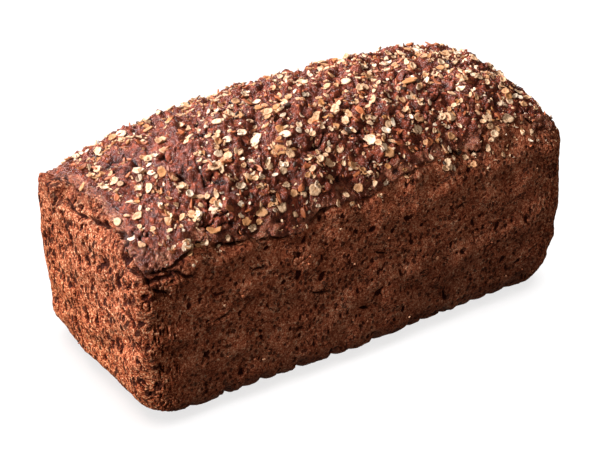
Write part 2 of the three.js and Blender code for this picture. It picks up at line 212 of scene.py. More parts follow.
# The stage: the floor's side, where the camera stands, and its backward and rightward directions
FLOOR_SIZE = 6000
CAMERA_PLACE = (-472.29, -720.37, 552.82)
CAMERA_BACK = (-0.470435, -0.724203, 0.504203)
CAMERA_RIGHT = (0.838601, -0.544747, 0.0)
SKY_COLOUR = (1.0, 0.88, 0.80, 1)
# Each sun: name, the direction it stands in, spread in degrees, colour, and what it lights
SUNS = (
    ("key", (-0.85, 0.0, 0.53), 8.0, (1.0, 0.97, 0.94), "loaf"),
    ("back_light", (-0.35, 0.68, 0.64), 22.0, (1.0, 0.94, 0.96), "loaf"),
    ("fill", (0.1, -0.6, 0.8), 100.0, (1.0, 0.88, 0.77), "loaf"),
    ("floor_light", (0, 0, 1), 60.0, (1, 1, 1), "floor"),
    ("floor_glow", (0, 0, 1), 0.0, (1, 1, 1), "floor"),
)


# ---------------------------------------------------------------------------
# Numbers

def smoothstep(value, low, high):
    t = np.clip((value - low) / (high - low), 0, 1)
    return t * t * (3 - 2 * t)


def mix(a, b, share):
    return a + (b - a) * share


class Draws:
    """Even draws from 0 up to 1 that start afresh from a seed."""

    STEP = 0x6D2B79F5
    MASK = 0xFFFFFFFF

    def __init__(self, seed):
        self.state = seed
        self()

    def __call__(self):
        self.state = (self.state + self.STEP) & self.MASK
        mixed = ((self.state ^ (self.state >> 15)) * (self.state | 1)) & self.MASK
        again = ((mixed ^ (mixed >> 7)) * (mixed | 61)) & self.MASK
        mixed ^= (mixed + again) & self.MASK
        return (mixed ^ (mixed >> 14)) / 2 ** 32


def uneven(points, height, shortest, longest, count, seed):
    """A smooth uneven field, from waves of many directions and lengths."""
    draw = Draws(seed)
    total = np.zeros(points.shape[:-1])
    for _ in range(count):
        turn = TAU * draw()
        rise = 2 * draw() - 1
        flat = math.sqrt(1 - rise * rise)
        length = shortest + (longest - shortest) * draw()
        wave = np.array([flat * math.cos(turn), flat * math.sin(turn), rise]) * TAU / length
        total += np.sin(points @ wave + TAU * draw())
    return total * height * math.sqrt(2 / count)


CORNERS = [(i, j, k) for i in (0, 1) for j in (0, 1) for k in (0, 1)]
NEIGHBOURS = [(i, j, k) for i in (-1, 0, 1) for j in (-1, 0, 1) for k in (-1, 0, 1)]


def cell_numbers(cells, shuffled):
    """A number from 0 to 255 for each cell of a grid in space."""
    return shuffled[(shuffled[(shuffled[cells[..., 0] & 255] + cells[..., 1]) & 255] + cells[..., 2]) & 255]


def noise(points, seed):
    """Smooth noise from about -1 to 1, with one swell to each unit of length."""
    rng = np.random.default_rng(seed)
    shuffled = rng.permutation(256)
    slopes = rng.normal(size=(256, 3))
    slopes /= np.linalg.norm(slopes, axis=1, keepdims=True)
    cells = np.floor(points).astype(np.int64)
    inside = points - cells
    ease = inside ** 3 * (inside * (inside * 6 - 15) + 10)
    total = np.zeros(points.shape[:-1])
    for corner in CORNERS:
        slope = slopes[cell_numbers(cells + corner, shuffled)]
        weight = np.prod(np.where(corner, ease, 1 - ease), axis=-1)
        total += weight * np.sum(slope * (inside - corner), axis=-1)
    return 1.6 * total


def spots(points, seed):
    """The distance to the nearest of one spot in each unit cell, and that spot's own number."""
    rng = np.random.default_rng(seed)
    shuffled = rng.permutation(256)
    places = rng.random((256, 3))
    own = rng.random(256)
    cells = np.floor(points).astype(np.int64)
    inside = points - cells
    nearest = np.full(points.shape[:-1], 9.0)
    number = np.zeros(points.shape[:-1])
    for neighbour in NEIGHBOURS:
        which = cell_numbers(cells + neighbour, shuffled)
        away = np.sum((places[which] + neighbour - inside) ** 2, axis=-1)
        closer = away < nearest
        nearest[closer] = away[closer]
        number[closer] = own[which[closer]]
    return np.sqrt(nearest), number


# ---------------------------------------------------------------------------
# The loaf's form

def catmull_rom(points, samples):
    """Points along a smooth curve through named points."""
    points = np.array(points, float)
    last = len(points) - 1
    out = []
    for t in np.linspace(0, last, samples + 1):
        i = min(int(t), last)
        p0, p1 = points[max(i - 1, 0)], points[i]
        p2, p3 = points[min(i + 1, last)], points[min(i + 2, last)]
        w = t - i
        v0, v1 = (p2 - p0) / 2, (p3 - p1) / 2
        out.append((2 * p1 - 2 * p2 + v0 + v1) * w ** 3 + (3 * p2 - 3 * p1 - 2 * v0 - v1) * w ** 2 + v0 * w + p1)
    return np.array(out)


FRONT_LIP_CURVE = catmull_rom(FRONT_LIP, FRONT_LIP_SAMPLES)


def lip_level(size, u, v):
    """The lip's share of the way up the profile, round the loaf."""
    x = u * size.length / 2
    point = np.stack([x, v * size.width / 2, np.full_like(x, size.rim)], axis=-1)
    wandering = LIP_LEVEL + uneven(point, *LIP_WANDER)
    on_end = smoothstep(np.abs(u), END_LIP_FROM, 1) * (1 - v * v)
    level = mix(wandering, END_LIP_LEVEL, on_end)
    near_corner = smoothstep(np.abs(u), FRONT_LIP_UNTIL, FRONT_LIP_GONE)
    on_front = smoothstep(-v, FRONT_LIP_FROM, 1) * (1 - near_corner)
    return mix(level, np.interp(x, FRONT_LIP_CURVE[:, 0], FRONT_LIP_CURVE[:, 1]), on_front)


def profile_at(size, share):
    """How far the side profile is inside the outline, its height, and how much is crown."""
    base_arc = size.base_round * math.pi / 2
    wall = size.rim - size.shoulder - size.base_round
    along = share * (base_arc + wall + size.shoulder * math.pi / 2)
    low = np.clip(along / size.base_round, 0, math.pi / 2)
    high = np.clip((along - base_arc - wall) / size.shoulder, 0, math.pi / 2)
    straight = np.clip(along - base_arc, 0, wall)
    inset = size.base_round * (1 - np.sin(low)) + size.shoulder * (1 - np.cos(high))
    z = size.base_round * (1 - np.cos(low)) + straight + size.shoulder * np.sin(high)
    return inset, z, np.sin(high)


def corner_radius(size, u, v, z):
    near_rim = smoothstep(z, FILLED_UNTIL, size.rim)
    filled = smoothstep(z, FILLED_FROM, FILLED_FULL) * mix(1, FILLED_AT_RIM, near_rim)
    return mix(size.corner, FILLED_CORNER, np.where((u > 0) | (v > 0), 0, filled))


def outline_point(size, u, v, inset, z):
    """A point of the rounded oblong outline, for u and v on the edge of a square."""
    taper = np.maximum(0, 1 - z / size.rim) ** TAPER_POWER
    half_length = size.length / 2 - inset - END_TAPER * taper
    half_width = size.width / 2 - inset
    corner = corner_radius(size, u, v, z) - SHOULDER_CORNER_LOSS * inset
    x, y = u * half_length, v * half_width
    inner_x = np.clip(x, corner - half_length, half_length - corner)
    inner_y = np.clip(y, corner - half_width, half_width - corner)
    stretch = corner / np.hypot(x - inner_x, y - inner_y)
    return inner_x + (x - inner_x) * stretch, inner_y + (y - inner_y) * stretch


def crown_height(size, x, y):
    along = np.clip(2 * x / size.length, -1, 1)
    across = np.minimum(1, np.abs(2 * y / size.width))
    power = np.where(along > 0, CROWN_STEEP_POWER, CROWN_SLOW_POWER)
    dome = (1 - np.abs(along) ** power) * (1 - across ** CROWN_WIDTH_POWER)
    return size.rise * dome * (1 + CROWN_SKEW * along)


def end_arch(size, x, y, z):
    near_end = np.clip(-2 * x / size.length, 0, 1) ** END_ARCH_POWER
    middle = 1 - np.minimum(1, np.abs(2 * y / size.width)) ** 2
    return END_ARCH * near_end * middle * smoothstep(z, END_ARCH_FOOT, size.rim)


def form_points(size, u, v, share):
    """The even form, for places on the edge of a square (walls) or inside it (the two caps)."""
    reach = np.maximum(np.maximum(np.abs(u), np.abs(v)), 1e-6)
    inset, z, crown = profile_at(size, share)
    x, y = outline_point(size, u / reach, v / reach, inset, z)
    x, y = x * reach, y * reach
    top = z + crown * crown_height(size, x, y) + end_arch(size, x, y, z)
    return np.stack([x, y, top], axis=-1)


def settled(size, points):
    """The foot of the front wall draws in and the rim climbs a little towards +X."""
    x, y, z = points[:, 0], points[:, 1], points[:, 2]
    low = 1 - smoothstep(z, 0, DRAW_BELOW)
    y = y + np.where(y < 0, DRAW_FAR * low * smoothstep(x, DRAW_START, DRAW_END), 0)
    z = z + RIM_CLIMB * smoothstep(z, RIM_CLIMB_FOOT, size.rim) * 2 * x / size.length
    return np.stack([x, y, z], axis=-1)


class CrustGrid:
    """A closed grid over the walls or over the crown: a cap, rows round the loaf, and a cone inside it."""

    def __init__(self, size, cell, crown):
        self.crown = crown
        self.along = round(size.length / cell)
        self.across = round(size.width / cell)
        self.ring = 2 * (self.along + self.across)
        square = self.ring_square()
        lip = lip_level(size, square[:, 0], square[:, 1])
        place = np.stack([square[:, 0] * size.length, square[:, 1] * size.width, 0 * lip], -1)
        lip = lip + LIP_RAGGED * noise(place / LIP_RAGGED_LENGTH, 71)
        wall = size.base_round * math.pi / 2 + size.rim - size.base_round
        if crown:
            rows = max(8, round(CROWN_ROWS * wall / cell))
            shares = lip + (1 - lip) * np.linspace(0, 1, rows + 1)[:, None]
        else:
            rows = round(WALL_ROWS * wall / cell)
            shares = np.linspace(0, 1, rows + 1)[:, None] * (lip + LIP_OVERLAP)
        self.rows = rows + 1
        cap = self.cap_square()
        self.u = np.concatenate([np.tile(square[:, 0], self.rows), cap[:, 0]])
        self.v = np.concatenate([np.tile(square[:, 1], self.rows), cap[:, 1]])
        self.share = np.concatenate([shares.ravel(), np.full(len(cap), 1.0 if crown else 0.0)])
        self.lip = np.concatenate([np.tile(lip, self.rows), np.full(len(cap), LIP_LEVEL)])
        self.faces = np.concatenate([self.wall_faces(), self.cap_faces()])

    def ring_square(self):
        along = np.linspace(-1, 1, self.along + 1)
        across = np.linspace(-1, 1, self.across + 1)
        sides = [
            np.stack([along[:-1], np.full(self.along, -1.0)], -1),
            np.stack([np.full(self.across, 1.0), across[:-1]], -1),
            np.stack([along[:0:-1], np.full(self.along, 1.0)], -1),
            np.stack([np.full(self.across, -1.0), across[:0:-1]], -1),
        ]
        return np.concatenate(sides)

    def cap_square(self):
        u, v = np.meshgrid(
            np.linspace(-1, 1, self.along + 1)[1:-1], np.linspace(-1, 1, self.across + 1)[1:-1], indexing="ij"
        )
        return np.stack([u.ravel(), v.ravel()], -1)

    def wall_faces(self):
        row = np.arange(self.rows - 1)[:, None] * self.ring
        k = np.arange(self.ring)[None, :]
        after = (k + 1) % self.ring
        return halved(np.stack([row + k, row + after, row + self.ring + after, row + self.ring + k], -1))

    def cap_faces(self):
        """Faces of the cap, whose edge is the last row of the crown or the first of the walls."""
        i, j = np.meshgrid(np.arange(self.along + 1), np.arange(self.across + 1), indexing="ij")
        place = self.rows * self.ring + (i - 1) * (self.across - 1) + (j - 1)
        edge = (self.rows - 1) * self.ring if self.crown else 0
        place = np.where(j == 0, edge + i, place)
        place = np.where(i == self.along, edge + self.along + j, place)
        place = np.where(j == self.across, edge + 2 * self.along + self.across - i, place)
        west = edge + (2 * self.along + 2 * self.across - j) % self.ring
        place = np.where(i == 0, west, place)
        quads = np.stack([place[:-1, :-1], place[1:, :-1], place[1:, 1:], place[:-1, 1:]], -1)
        return halved(quads if self.crown else quads[..., ::-1])

    def closed(self, points, normals):
        """The points and faces with the torn edge turned in and closed by a cone in the heart of the loaf."""
        k = np.arange(self.ring)
        after = (k + 1) % self.ring
        edge = k if self.crown else k + (self.rows - 1) * self.ring
        inner = len(points) + k
        apex = np.full(self.ring, len(points) + self.ring)
        heart = np.array([[0, 0, HEART_HEIGHT]])
        points = np.concatenate([points, points[edge] - LIP_THICKNESS * normals[edge], heart])
        turn_in = np.stack([edge, edge[after], inner[after], inner], -1)
        cone = np.stack([inner, inner[after], apex], -1)
        if self.crown:
            turn_in, cone = turn_in[:, ::-1], cone[:, ::-1]
        return points, np.concatenate([self.faces, halved(turn_in), cone])

    def closed_fact(self, values):
        """A fact for the closed points: the edge's values again, and 0 at the heart."""
        edge = values[:self.ring] if self.crown else values[(self.rows - 1) * self.ring:self.rows * self.ring]
        return np.concatenate([values, edge, [0.0]])


def halved(quads):
    """Two triangles for each face with four corners."""
    quads = quads.reshape(-1, 4)
    return np.concatenate([quads[:, [0, 1, 2]], quads[:, [0, 2, 3]]])


def vertex_normals(points, triangles):
    a, b, c = (points[triangles[:, i]] for i in range(3))
    face = np.cross(b - a, c - a)
    normals = np.zeros_like(points)
    for i in range(3):
        for axis in range(3):
            normals[:, axis] += np.bincount(triangles[:, i], weights=face[:, axis], minlength=len(points))
    return normals / np.maximum(np.linalg.norm(normals, axis=1, keepdims=True), 1e-9)


# ---------------------------------------------------------------------------
# Relief of the crust, in millimetres

def at_end(points):
    """How much each point belongs to an end: 0 on the long walls and 1 at the far ends."""
    return smoothstep(np.abs(points[:, 0]), END_STARTS, END_FULL)


def crack_relief(points):
    """How deep the named cracks and holes are at each point."""
    depth = np.zeros(len(points))
    wiggle = 1.1 * noise(points / 5, 61)
    for wall, along, height, length, slope in CRACKS:
        run = points[:, 0] if wall == "front" else points[:, 1]
        on_wall = points[:, 1] < FRONT_WALL_BELOW_Y if wall == "front" else points[:, 0] < END_WALL_BELOW_X
        angle = math.radians(slope)
        dx, dz = run - along, points[:, 2] - height
        s = dx * math.cos(angle) + dz * math.sin(angle)
        t = dz * math.cos(angle) - dx * math.sin(angle) + wiggle
        taper = np.clip(1 - (2 * s / length) ** 2, 0, 1)
        gape = 1.3 * CRACK_GAPE * np.sqrt(taper) + 1e-6
        depth += on_wall * CRACK_DEPTH * taper * np.clip(1 - (t / gape) ** 2, 0, 1)
    for x, y, z, radius in HOLES:
        away = np.linalg.norm(points - (x, y, z), axis=1)
        depth += HOLE_DEPTH * (1 - smoothstep(away + 0.4 * wiggle, 0.4 * radius, radius))
    return depth


def pit_relief(points, spacing, seed, share, narrow, wide):
    """Gas holes broken into the crust: their depth as a share from 0 to 1."""
    reach = 0.35 * spacing[0]
    warped = points + reach * np.stack([noise(points / spacing[0], seed + k) for k in (1, 2, 3)], -1)
    away, number = spots(warped / spacing, seed)
    radius = mix(narrow, wide, np.clip((number - (1 - share)) / share, 0, 1))
    return np.where(number > 1 - share, 1 - smoothstep(away, 0.55 * radius, radius), 0)


def grain_relief(points, spacing, seed):
    """Rounded grains side by side, some higher than others: from about -0.5 to 0.5."""
    warped = points + 0.3 * spacing * np.stack([noise(points / spacing, seed + k) for k in (1, 2, 3)], -1)
    away, number = spots(warped / spacing, seed)
    return (0.55 + 0.9 * number) * (1 - np.minimum(1, away) ** 2) - 0.55


def crevices(points, spacing, seed, width):
    """Narrow winding crevices that come and go: their depth as a share from 0 to 1."""
    line = 1 - smoothstep(np.abs(noise(points / spacing, seed)), 0, width)
    return line * smoothstep(noise(points / (1.7 * spacing), seed + 1), -0.1, 0.4)


def wall_relief(points):
    """The height of the walls' broken, grainy crust, how much of it is fine, and how deep its pits and crevices go,
    as a share that sets the shade painted into them.
    """
    on_end = at_end(points)
    # The dough rose up the ends and leant as it did, so that the gas holes there are long and aslant
    drawn = np.stack([points[:, 0] * mix(1, 0.3, on_end),
                      (points[:, 1] - HOLE_LEAN * on_end * points[:, 2]) * mix(0.3, 1, on_end),
                      points[:, 2] * mix(0.85, 0.7, on_end)], -1)
    coarse = 0.5 * noise(points / 11, 41) + mix(0.25, 0.45, on_end) * grain_relief(drawn, 5.0, 42)
    fine = mix(0.25, 0.3, on_end) * grain_relief(drawn, 2.2, 46) + mix(0.15, 0.2, on_end) * noise(drawn / 1.7, 50)
    split = crevices(drawn, 6.5, 58, 0.07)
    large = pit_relief(drawn, np.array([4.8, 4.8, 5.4]), 51, mix(0.2, 0.7, on_end), 0.26, 0.44)
    small = pit_relief(drawn, np.array([3.0, 3.0, 3.6]), 55, mix(0.2, 0.4, on_end), 0.3, 0.44)
    fine -= mix(0.7, 2.5, on_end) * large + mix(0.5, 1.3, on_end) * small + mix(0.5, 1.4, on_end) * split
    return coarse + fine, fine, np.clip(large + 0.8 * small + 0.8 * split, 0, 1)


def skin_relief(points):
    """The height of the crown's bumpy skin, how much of it is fine, and where its creases are, as a share that sets
    the shade painted into them.
    """
    away, number = spots(points / 6.5, 81)
    swell = (1 - smoothstep(away, 0.25, 0.7)) * mix(0.2, 2.8, number)
    fine = 1.5 * grain_relief(points, 3.0, 82) + 0.6 * noise(points / 2.0, 86)
    creases = crevices(points, 7.0, 87, 0.12)
    fine -= 1.9 * creases
    height = swell + fine + 0.6 * noise(points / 12, 84) - 1.2
    return height, fine, creases


def base_relief(size, points, share):
    """How far the rack's wires pressed the base and the rounded foot of the walls."""
    numbers = np.clip(np.round((points[:, 0] - WIRE_FIRST) / WIRE_STEP), 0, WIRE_COUNT - 1)
    from_wire = points[:, 0] - (WIRE_FIRST + WIRE_STEP * numbers)
    groove = np.sqrt(np.maximum(WIRE_RADIUS ** 2 - from_wire ** 2, 0)) - WIRE_BELOW
    straight = size.rim - size.base_round - size.shoulder
    along = share * (straight + (size.base_round + size.shoulder) * math.pi / 2)
    up_or_down = np.abs(along - size.base_round * math.radians(NOTCH_ANGLE))
    notch = np.zeros(len(points))
    for x, deep in NOTCHES:
        ahead = points[:, 0] - x
        gone = np.where(ahead < 0, -ahead / NOTCH_STEEP, ahead / NOTCH_SLOW)
        notch = np.maximum(notch, deep * np.clip(1 - gone, 0, 1))
    on_side = np.abs(points[:, 1]) > size.width / 2 - size.base_round
    return groove, np.where(on_side, NOTCH_DEPTH * notch * (1 - smoothstep(up_or_down, NOTCH_FULL, NOTCH_LENGTH)), 0)


def ledge_relief(size, points, share):
    """How far the broken ledge stands out from the rounded shoulder."""
    rise = profile_at(size, share)[2]
    square = 1 / np.maximum(rise, np.sqrt(1 - rise * rise)) - 1
    along = smoothstep(points[:, 1], LEDGE_FROM, LEDGE_FROM + LEDGE_BREAK)
    along = along * (1 - smoothstep(points[:, 1], LEDGE_UNTIL, LEDGE_UNTIL + LEDGE_FADE))
    return LEDGE_SQUARE * size.shoulder * square * along * (points[:, 0] < -END_STARTS)


def crust_surface(size, grid):
    """Every vertex and triangle of the walls or the crown, with what the finish needs to know."""
    form = form_points(size, grid.u, grid.v, grid.share)
    normals = vertex_normals(form, grid.faces)
    above = smoothstep(form[:, 2], size.rim - size.shoulder, size.rim)
    standing = smoothstep(form[:, 2], 0, LUMPS_FADE)
    lumps = mix(uneven(form, *WALL_LUMPS), uneven(form, *CROWN_LUMPS), above)

    on_wall = np.maximum(np.abs(grid.u), np.abs(grid.v)) > 1 - 1e-6
    away = (grid.share - grid.lip) / LIP_REACH
    fade = np.exp(-away * away) if grid.crown else np.exp(-np.minimum(away, 0) ** 2)
    front = smoothstep(-grid.v, FRONT_LIP_FROM, 1)
    on_end = at_end(form)
    torn = mix(mix(0.75, 0.3, on_end) + 0.7 * noise(form / 24, 72), np.interp(form[:, 0], *zip(*FRONT_TEAR)), front)
    torn = torn * smoothstep(noise(form / 10, 75), -0.35, 0.25) + 0.3 * noise(form / 4, 76)
    torn = np.clip(torn, 0.03, 1.6)
    if grid.crown:
        lift = size.lip_roll * fade
        groove_share = np.zeros_like(fade)
    else:
        groove_share = smoothstep(grid.share - grid.lip, -LIP_GROOVE, -0.1 * LIP_GROOVE)
        lift = -size.lip_recess * fade - size.lip_groove * groove_share
    points = form + normals * (standing * (uneven(form, *SWAY) + lumps + lift * torn * on_wall))[:, None]

    wall_height, wall_fine, wall_hollow_shade = wall_relief(form)
    skin_height, skin_fine, skin_hollow_shade = skin_relief(form)
    crack = crack_relief(form)
    past_lip = grid.share - grid.lip + mix(0.05, 0.09, on_end) * noise(form / 7, 73)
    browned = smoothstep((past_lip - mix(-0.03, -0.10, on_end)) / mix(0.08, 0.22, on_end), 0, 1)
    browned = np.where(on_wall, browned, 1.0 if grid.crown else 0.0)
    relief = mix(wall_height, skin_height * mix(0.6, 1, above), browned) - crack
    relief = relief + ledge_relief(size, form, grid.share)
    footing = smoothstep(form[:, 2], FOOTING_FROM, FOOTING_FULL)
    groove, notch = base_relief(size, form, grid.share)
    points = settled(size, points + normals * (footing * relief - notch)[:, None])
    if not grid.crown:
        under = grid.share < BASE_SHARE
        points[:, 2] = np.where(under, np.maximum(points[:, 2], np.maximum(groove, 0)), points[:, 2])
    # Painted shade, with a little random tone: the long walls are coloured darker towards their foot and towards +X,
    # the ends and the skin are not
    low_far_shading = 0.3 * (1 - smoothstep(form[:, 2], 8, 75)) * (1 - on_end) + 0.12 * noise(form / 40, 74)
    low_far_shading = low_far_shading + 0.16 * smoothstep(form[:, 0], -20, 100)
    facts = {
        "skin": browned,
        # Painted shade: how dark the pits, creases, cracks and holes are coloured
        "hollow": np.clip(mix(wall_hollow_shade, skin_hollow_shade, browned) + 1.5 * crack / CRACK_DEPTH, 0, 1),
        "fine": mix(wall_fine, skin_fine, browned),
        # Painted shade in the torn groove under the lip's overhang
        "tear": np.clip((0.3 * fade * (not grid.crown) + groove_share) * torn, 0, 1) * on_wall,
        "end": on_end,
        "bake": low_far_shading * (1 - browned),
        "warm": on_end * mix(0.5, 1, 1 - smoothstep(form[:, 2] - 0.4 * form[:, 1], 20, 90)),
    }
    points, faces = grid.closed(points, vertex_normals(points, grid.faces))
    return points, faces, {name: grid.closed_fact(values) for name, values in facts.items()}


# ---------------------------------------------------------------------------
# Meshes

def new_mesh(name, points, faces, smooth=True):
    """A mesh from points in millimetres and faces with an equal number of corners."""
    mesh = bpy.data.meshes.new(name)
    mesh.vertices.add(len(points))
    mesh.vertices.foreach_set("co", (np.asarray(points) * MM).astype(np.float32).ravel())
    corners = faces.shape[1]
    mesh.loops.add(faces.size)
    mesh.loops.foreach_set("vertex_index", faces.astype(np.int32).ravel())
    mesh.polygons.add(len(faces))
    mesh.polygons.foreach_set("loop_start", np.arange(0, faces.size, corners, dtype=np.int32))
    mesh.polygons.foreach_set("use_smooth", np.full(len(faces), smooth))
    mesh.update(calc_edges=True)
    if mesh.validate():
        raise RuntimeError(name + " has faces that don't hold together")
    return mesh


def give_facts(mesh, facts):
    for name, values in facts.items():
        attribute = mesh.attributes.new(name, "FLOAT", "POINT")
        attribute.data.foreach_set("value", np.asarray(values, np.float32).ravel())


def new_piece(name, mesh, material):
    piece = bpy.data.objects.new(name, mesh)
    bpy.context.scene.collection.objects.link(piece)
    mesh.materials.append(material)
    return piece


def thinned(piece, most_triangles):
    """Takes triangles out where the surface is plainest, until at most so many are left."""
    piece.data.calc_loop_triangles()
    have = len(piece.data.loop_triangles)
    if have <= most_triangles:
        return
    modifier = piece.modifiers.new("thin", "DECIMATE")
    modifier.ratio = most_triangles / have
    graph = bpy.context.evaluated_depsgraph_get()
    mesh = bpy.data.meshes.new_from_object(piece.evaluated_get(graph))
    old = piece.data
    piece.modifiers.remove(modifier)
    piece.data = mesh
    bpy.data.meshes.remove(old)
    mesh.polygons.foreach_set("use_smooth", np.full(len(mesh.polygons), True))


# ---------------------------------------------------------------------------
# Materials

class Finish:
    """A material and its nodes."""

    def __init__(self, name):
        self.material = bpy.data.materials.new(name)
        self.material.use_nodes = True
        self.nodes = self.material.node_tree.nodes
        self.links = self.material.node_tree.links
        self.shader = self.nodes["Principled BSDF"]
        self.place = self.nodes.new("ShaderNodeTexCoord").outputs["Object"]

    def set(self, node, inputs):
        for key, value in inputs.items():
            socket = node.inputs[key]
            if isinstance(value, bpy.types.NodeSocket):
                self.links.new(value, socket)
            else:
                socket.default_value = value
        return node

    def fact(self, name):
        node = self.nodes.new("ShaderNodeAttribute")
        node.attribute_name = name
        return node.outputs["Fac"]

    def noise(self, size_mm, detail=3.0, rough=0.55, stretch=(1, 1, 1), distort=0.0):
        node = self.nodes.new("ShaderNodeTexNoise")
        self.set(node, {
            "Vector": self.vector("MULTIPLY", self.place, stretch), "Scale": 1 / (size_mm * MM), "Detail": detail,
            "Roughness": rough, "Distortion": distort,
        })
        return node.outputs["Fac"]

    def warped(self, size_mm, reach_mm, stretch=(1, 1, 1)):
        """The place, stretched and then shifted about by noise."""
        shift = self.nodes.new("ShaderNodeTexNoise")
        self.set(shift, {"Vector": self.place, "Scale": 1 / (size_mm * MM), "Detail": 2.0})
        centred = self.vector("SUBTRACT", shift.outputs["Color"], (0.5, 0.5, 0.5))
        scaled = self.vector("MULTIPLY", centred, (2 * reach_mm * MM,) * 3)
        return self.vector("ADD", self.vector("MULTIPLY", self.place, stretch), scaled)

    def vector(self, operation, a, b):
        node = self.nodes.new("ShaderNodeVectorMath")
        node.operation = operation
        self.set(node, {0: a, 1: b})
        return node.outputs[0]

    def grains(self, place, size_mm):
        """How far each point is from the middle of its grain, and a number of the grain's own."""
        node = self.nodes.new("ShaderNodeTexVoronoi")
        self.set(node, {"Vector": place, "Scale": 1 / (size_mm * MM)})
        return node.outputs["Distance"], node.outputs["Color"]

    def math(self, operation, a, b=0.0, clamp=False):
        node = self.nodes.new("ShaderNodeMath")
        node.operation = operation
        node.use_clamp = clamp
        self.set(node, {0: a, 1: b})
        return node.outputs[0]

    def total(self, base, *terms):
        """A base value plus some outputs, each times its own weight."""
        out = base
        for weight, value in terms:
            node = self.nodes.new("ShaderNodeMath")
            node.operation = "MULTIPLY_ADD"
            self.set(node, {0: value, 1: weight, 2: out})
            out = node.outputs[0]
        return out

    def from_middle(self, value):
        return self.math("SUBTRACT", value, 0.5)

    def ramp(self, value, stops):
        node = self.nodes.new("ShaderNodeValToRGB")
        self.links.new(value, node.inputs["Fac"])
        elements = node.color_ramp.elements
        while len(elements) < len(stops):
            elements.new(0.5)
        for element, (position, colour) in zip(elements, stops):
            element.position = position
            element.color = (*colour, 1)
        return node.outputs["Color"]

    def span(self, value, low, high, out_low=0.0, out_high=1.0):
        node = self.nodes.new("ShaderNodeMapRange")
        self.set(node, {
            "Value": value, "From Min": low, "From Max": high, "To Min": out_low, "To Max": out_high,
        })
        return node.outputs["Result"]

    def blend(self, share, a, b, how="MIX"):
        node = self.nodes.new("ShaderNodeMix")
        node.data_type = "RGBA"
        node.blend_type = how
        self.set(node, {"Factor": share})
        for socket, value in ((node.inputs[6], a), (node.inputs[7], b)):
            if isinstance(value, bpy.types.NodeSocket):
                self.links.new(value, socket)
            else:
                socket.default_value = (*value, 1)
        return node.outputs[2]

    def bump(self, height, distance_mm, strength):
        node = self.nodes.new("ShaderNodeBump")
        self.set(node, {"Height": height, "Distance": distance_mm * MM, "Strength": strength})
        return node.outputs["Normal"]

    def done(self, colour, roughness, normal=None, specular=None):
        """The material, with what is given joined to its shader."""
        inputs = {"Base Color": colour, "Roughness": roughness, "Normal": normal, "Specular IOR Level": specular}
        self.set(self.shader, {key: value for key, value in inputs.items() if value is not None})
        return self.material


def shade(colour, factor):
    return tuple(min(1.0, c * factor) for c in colour)


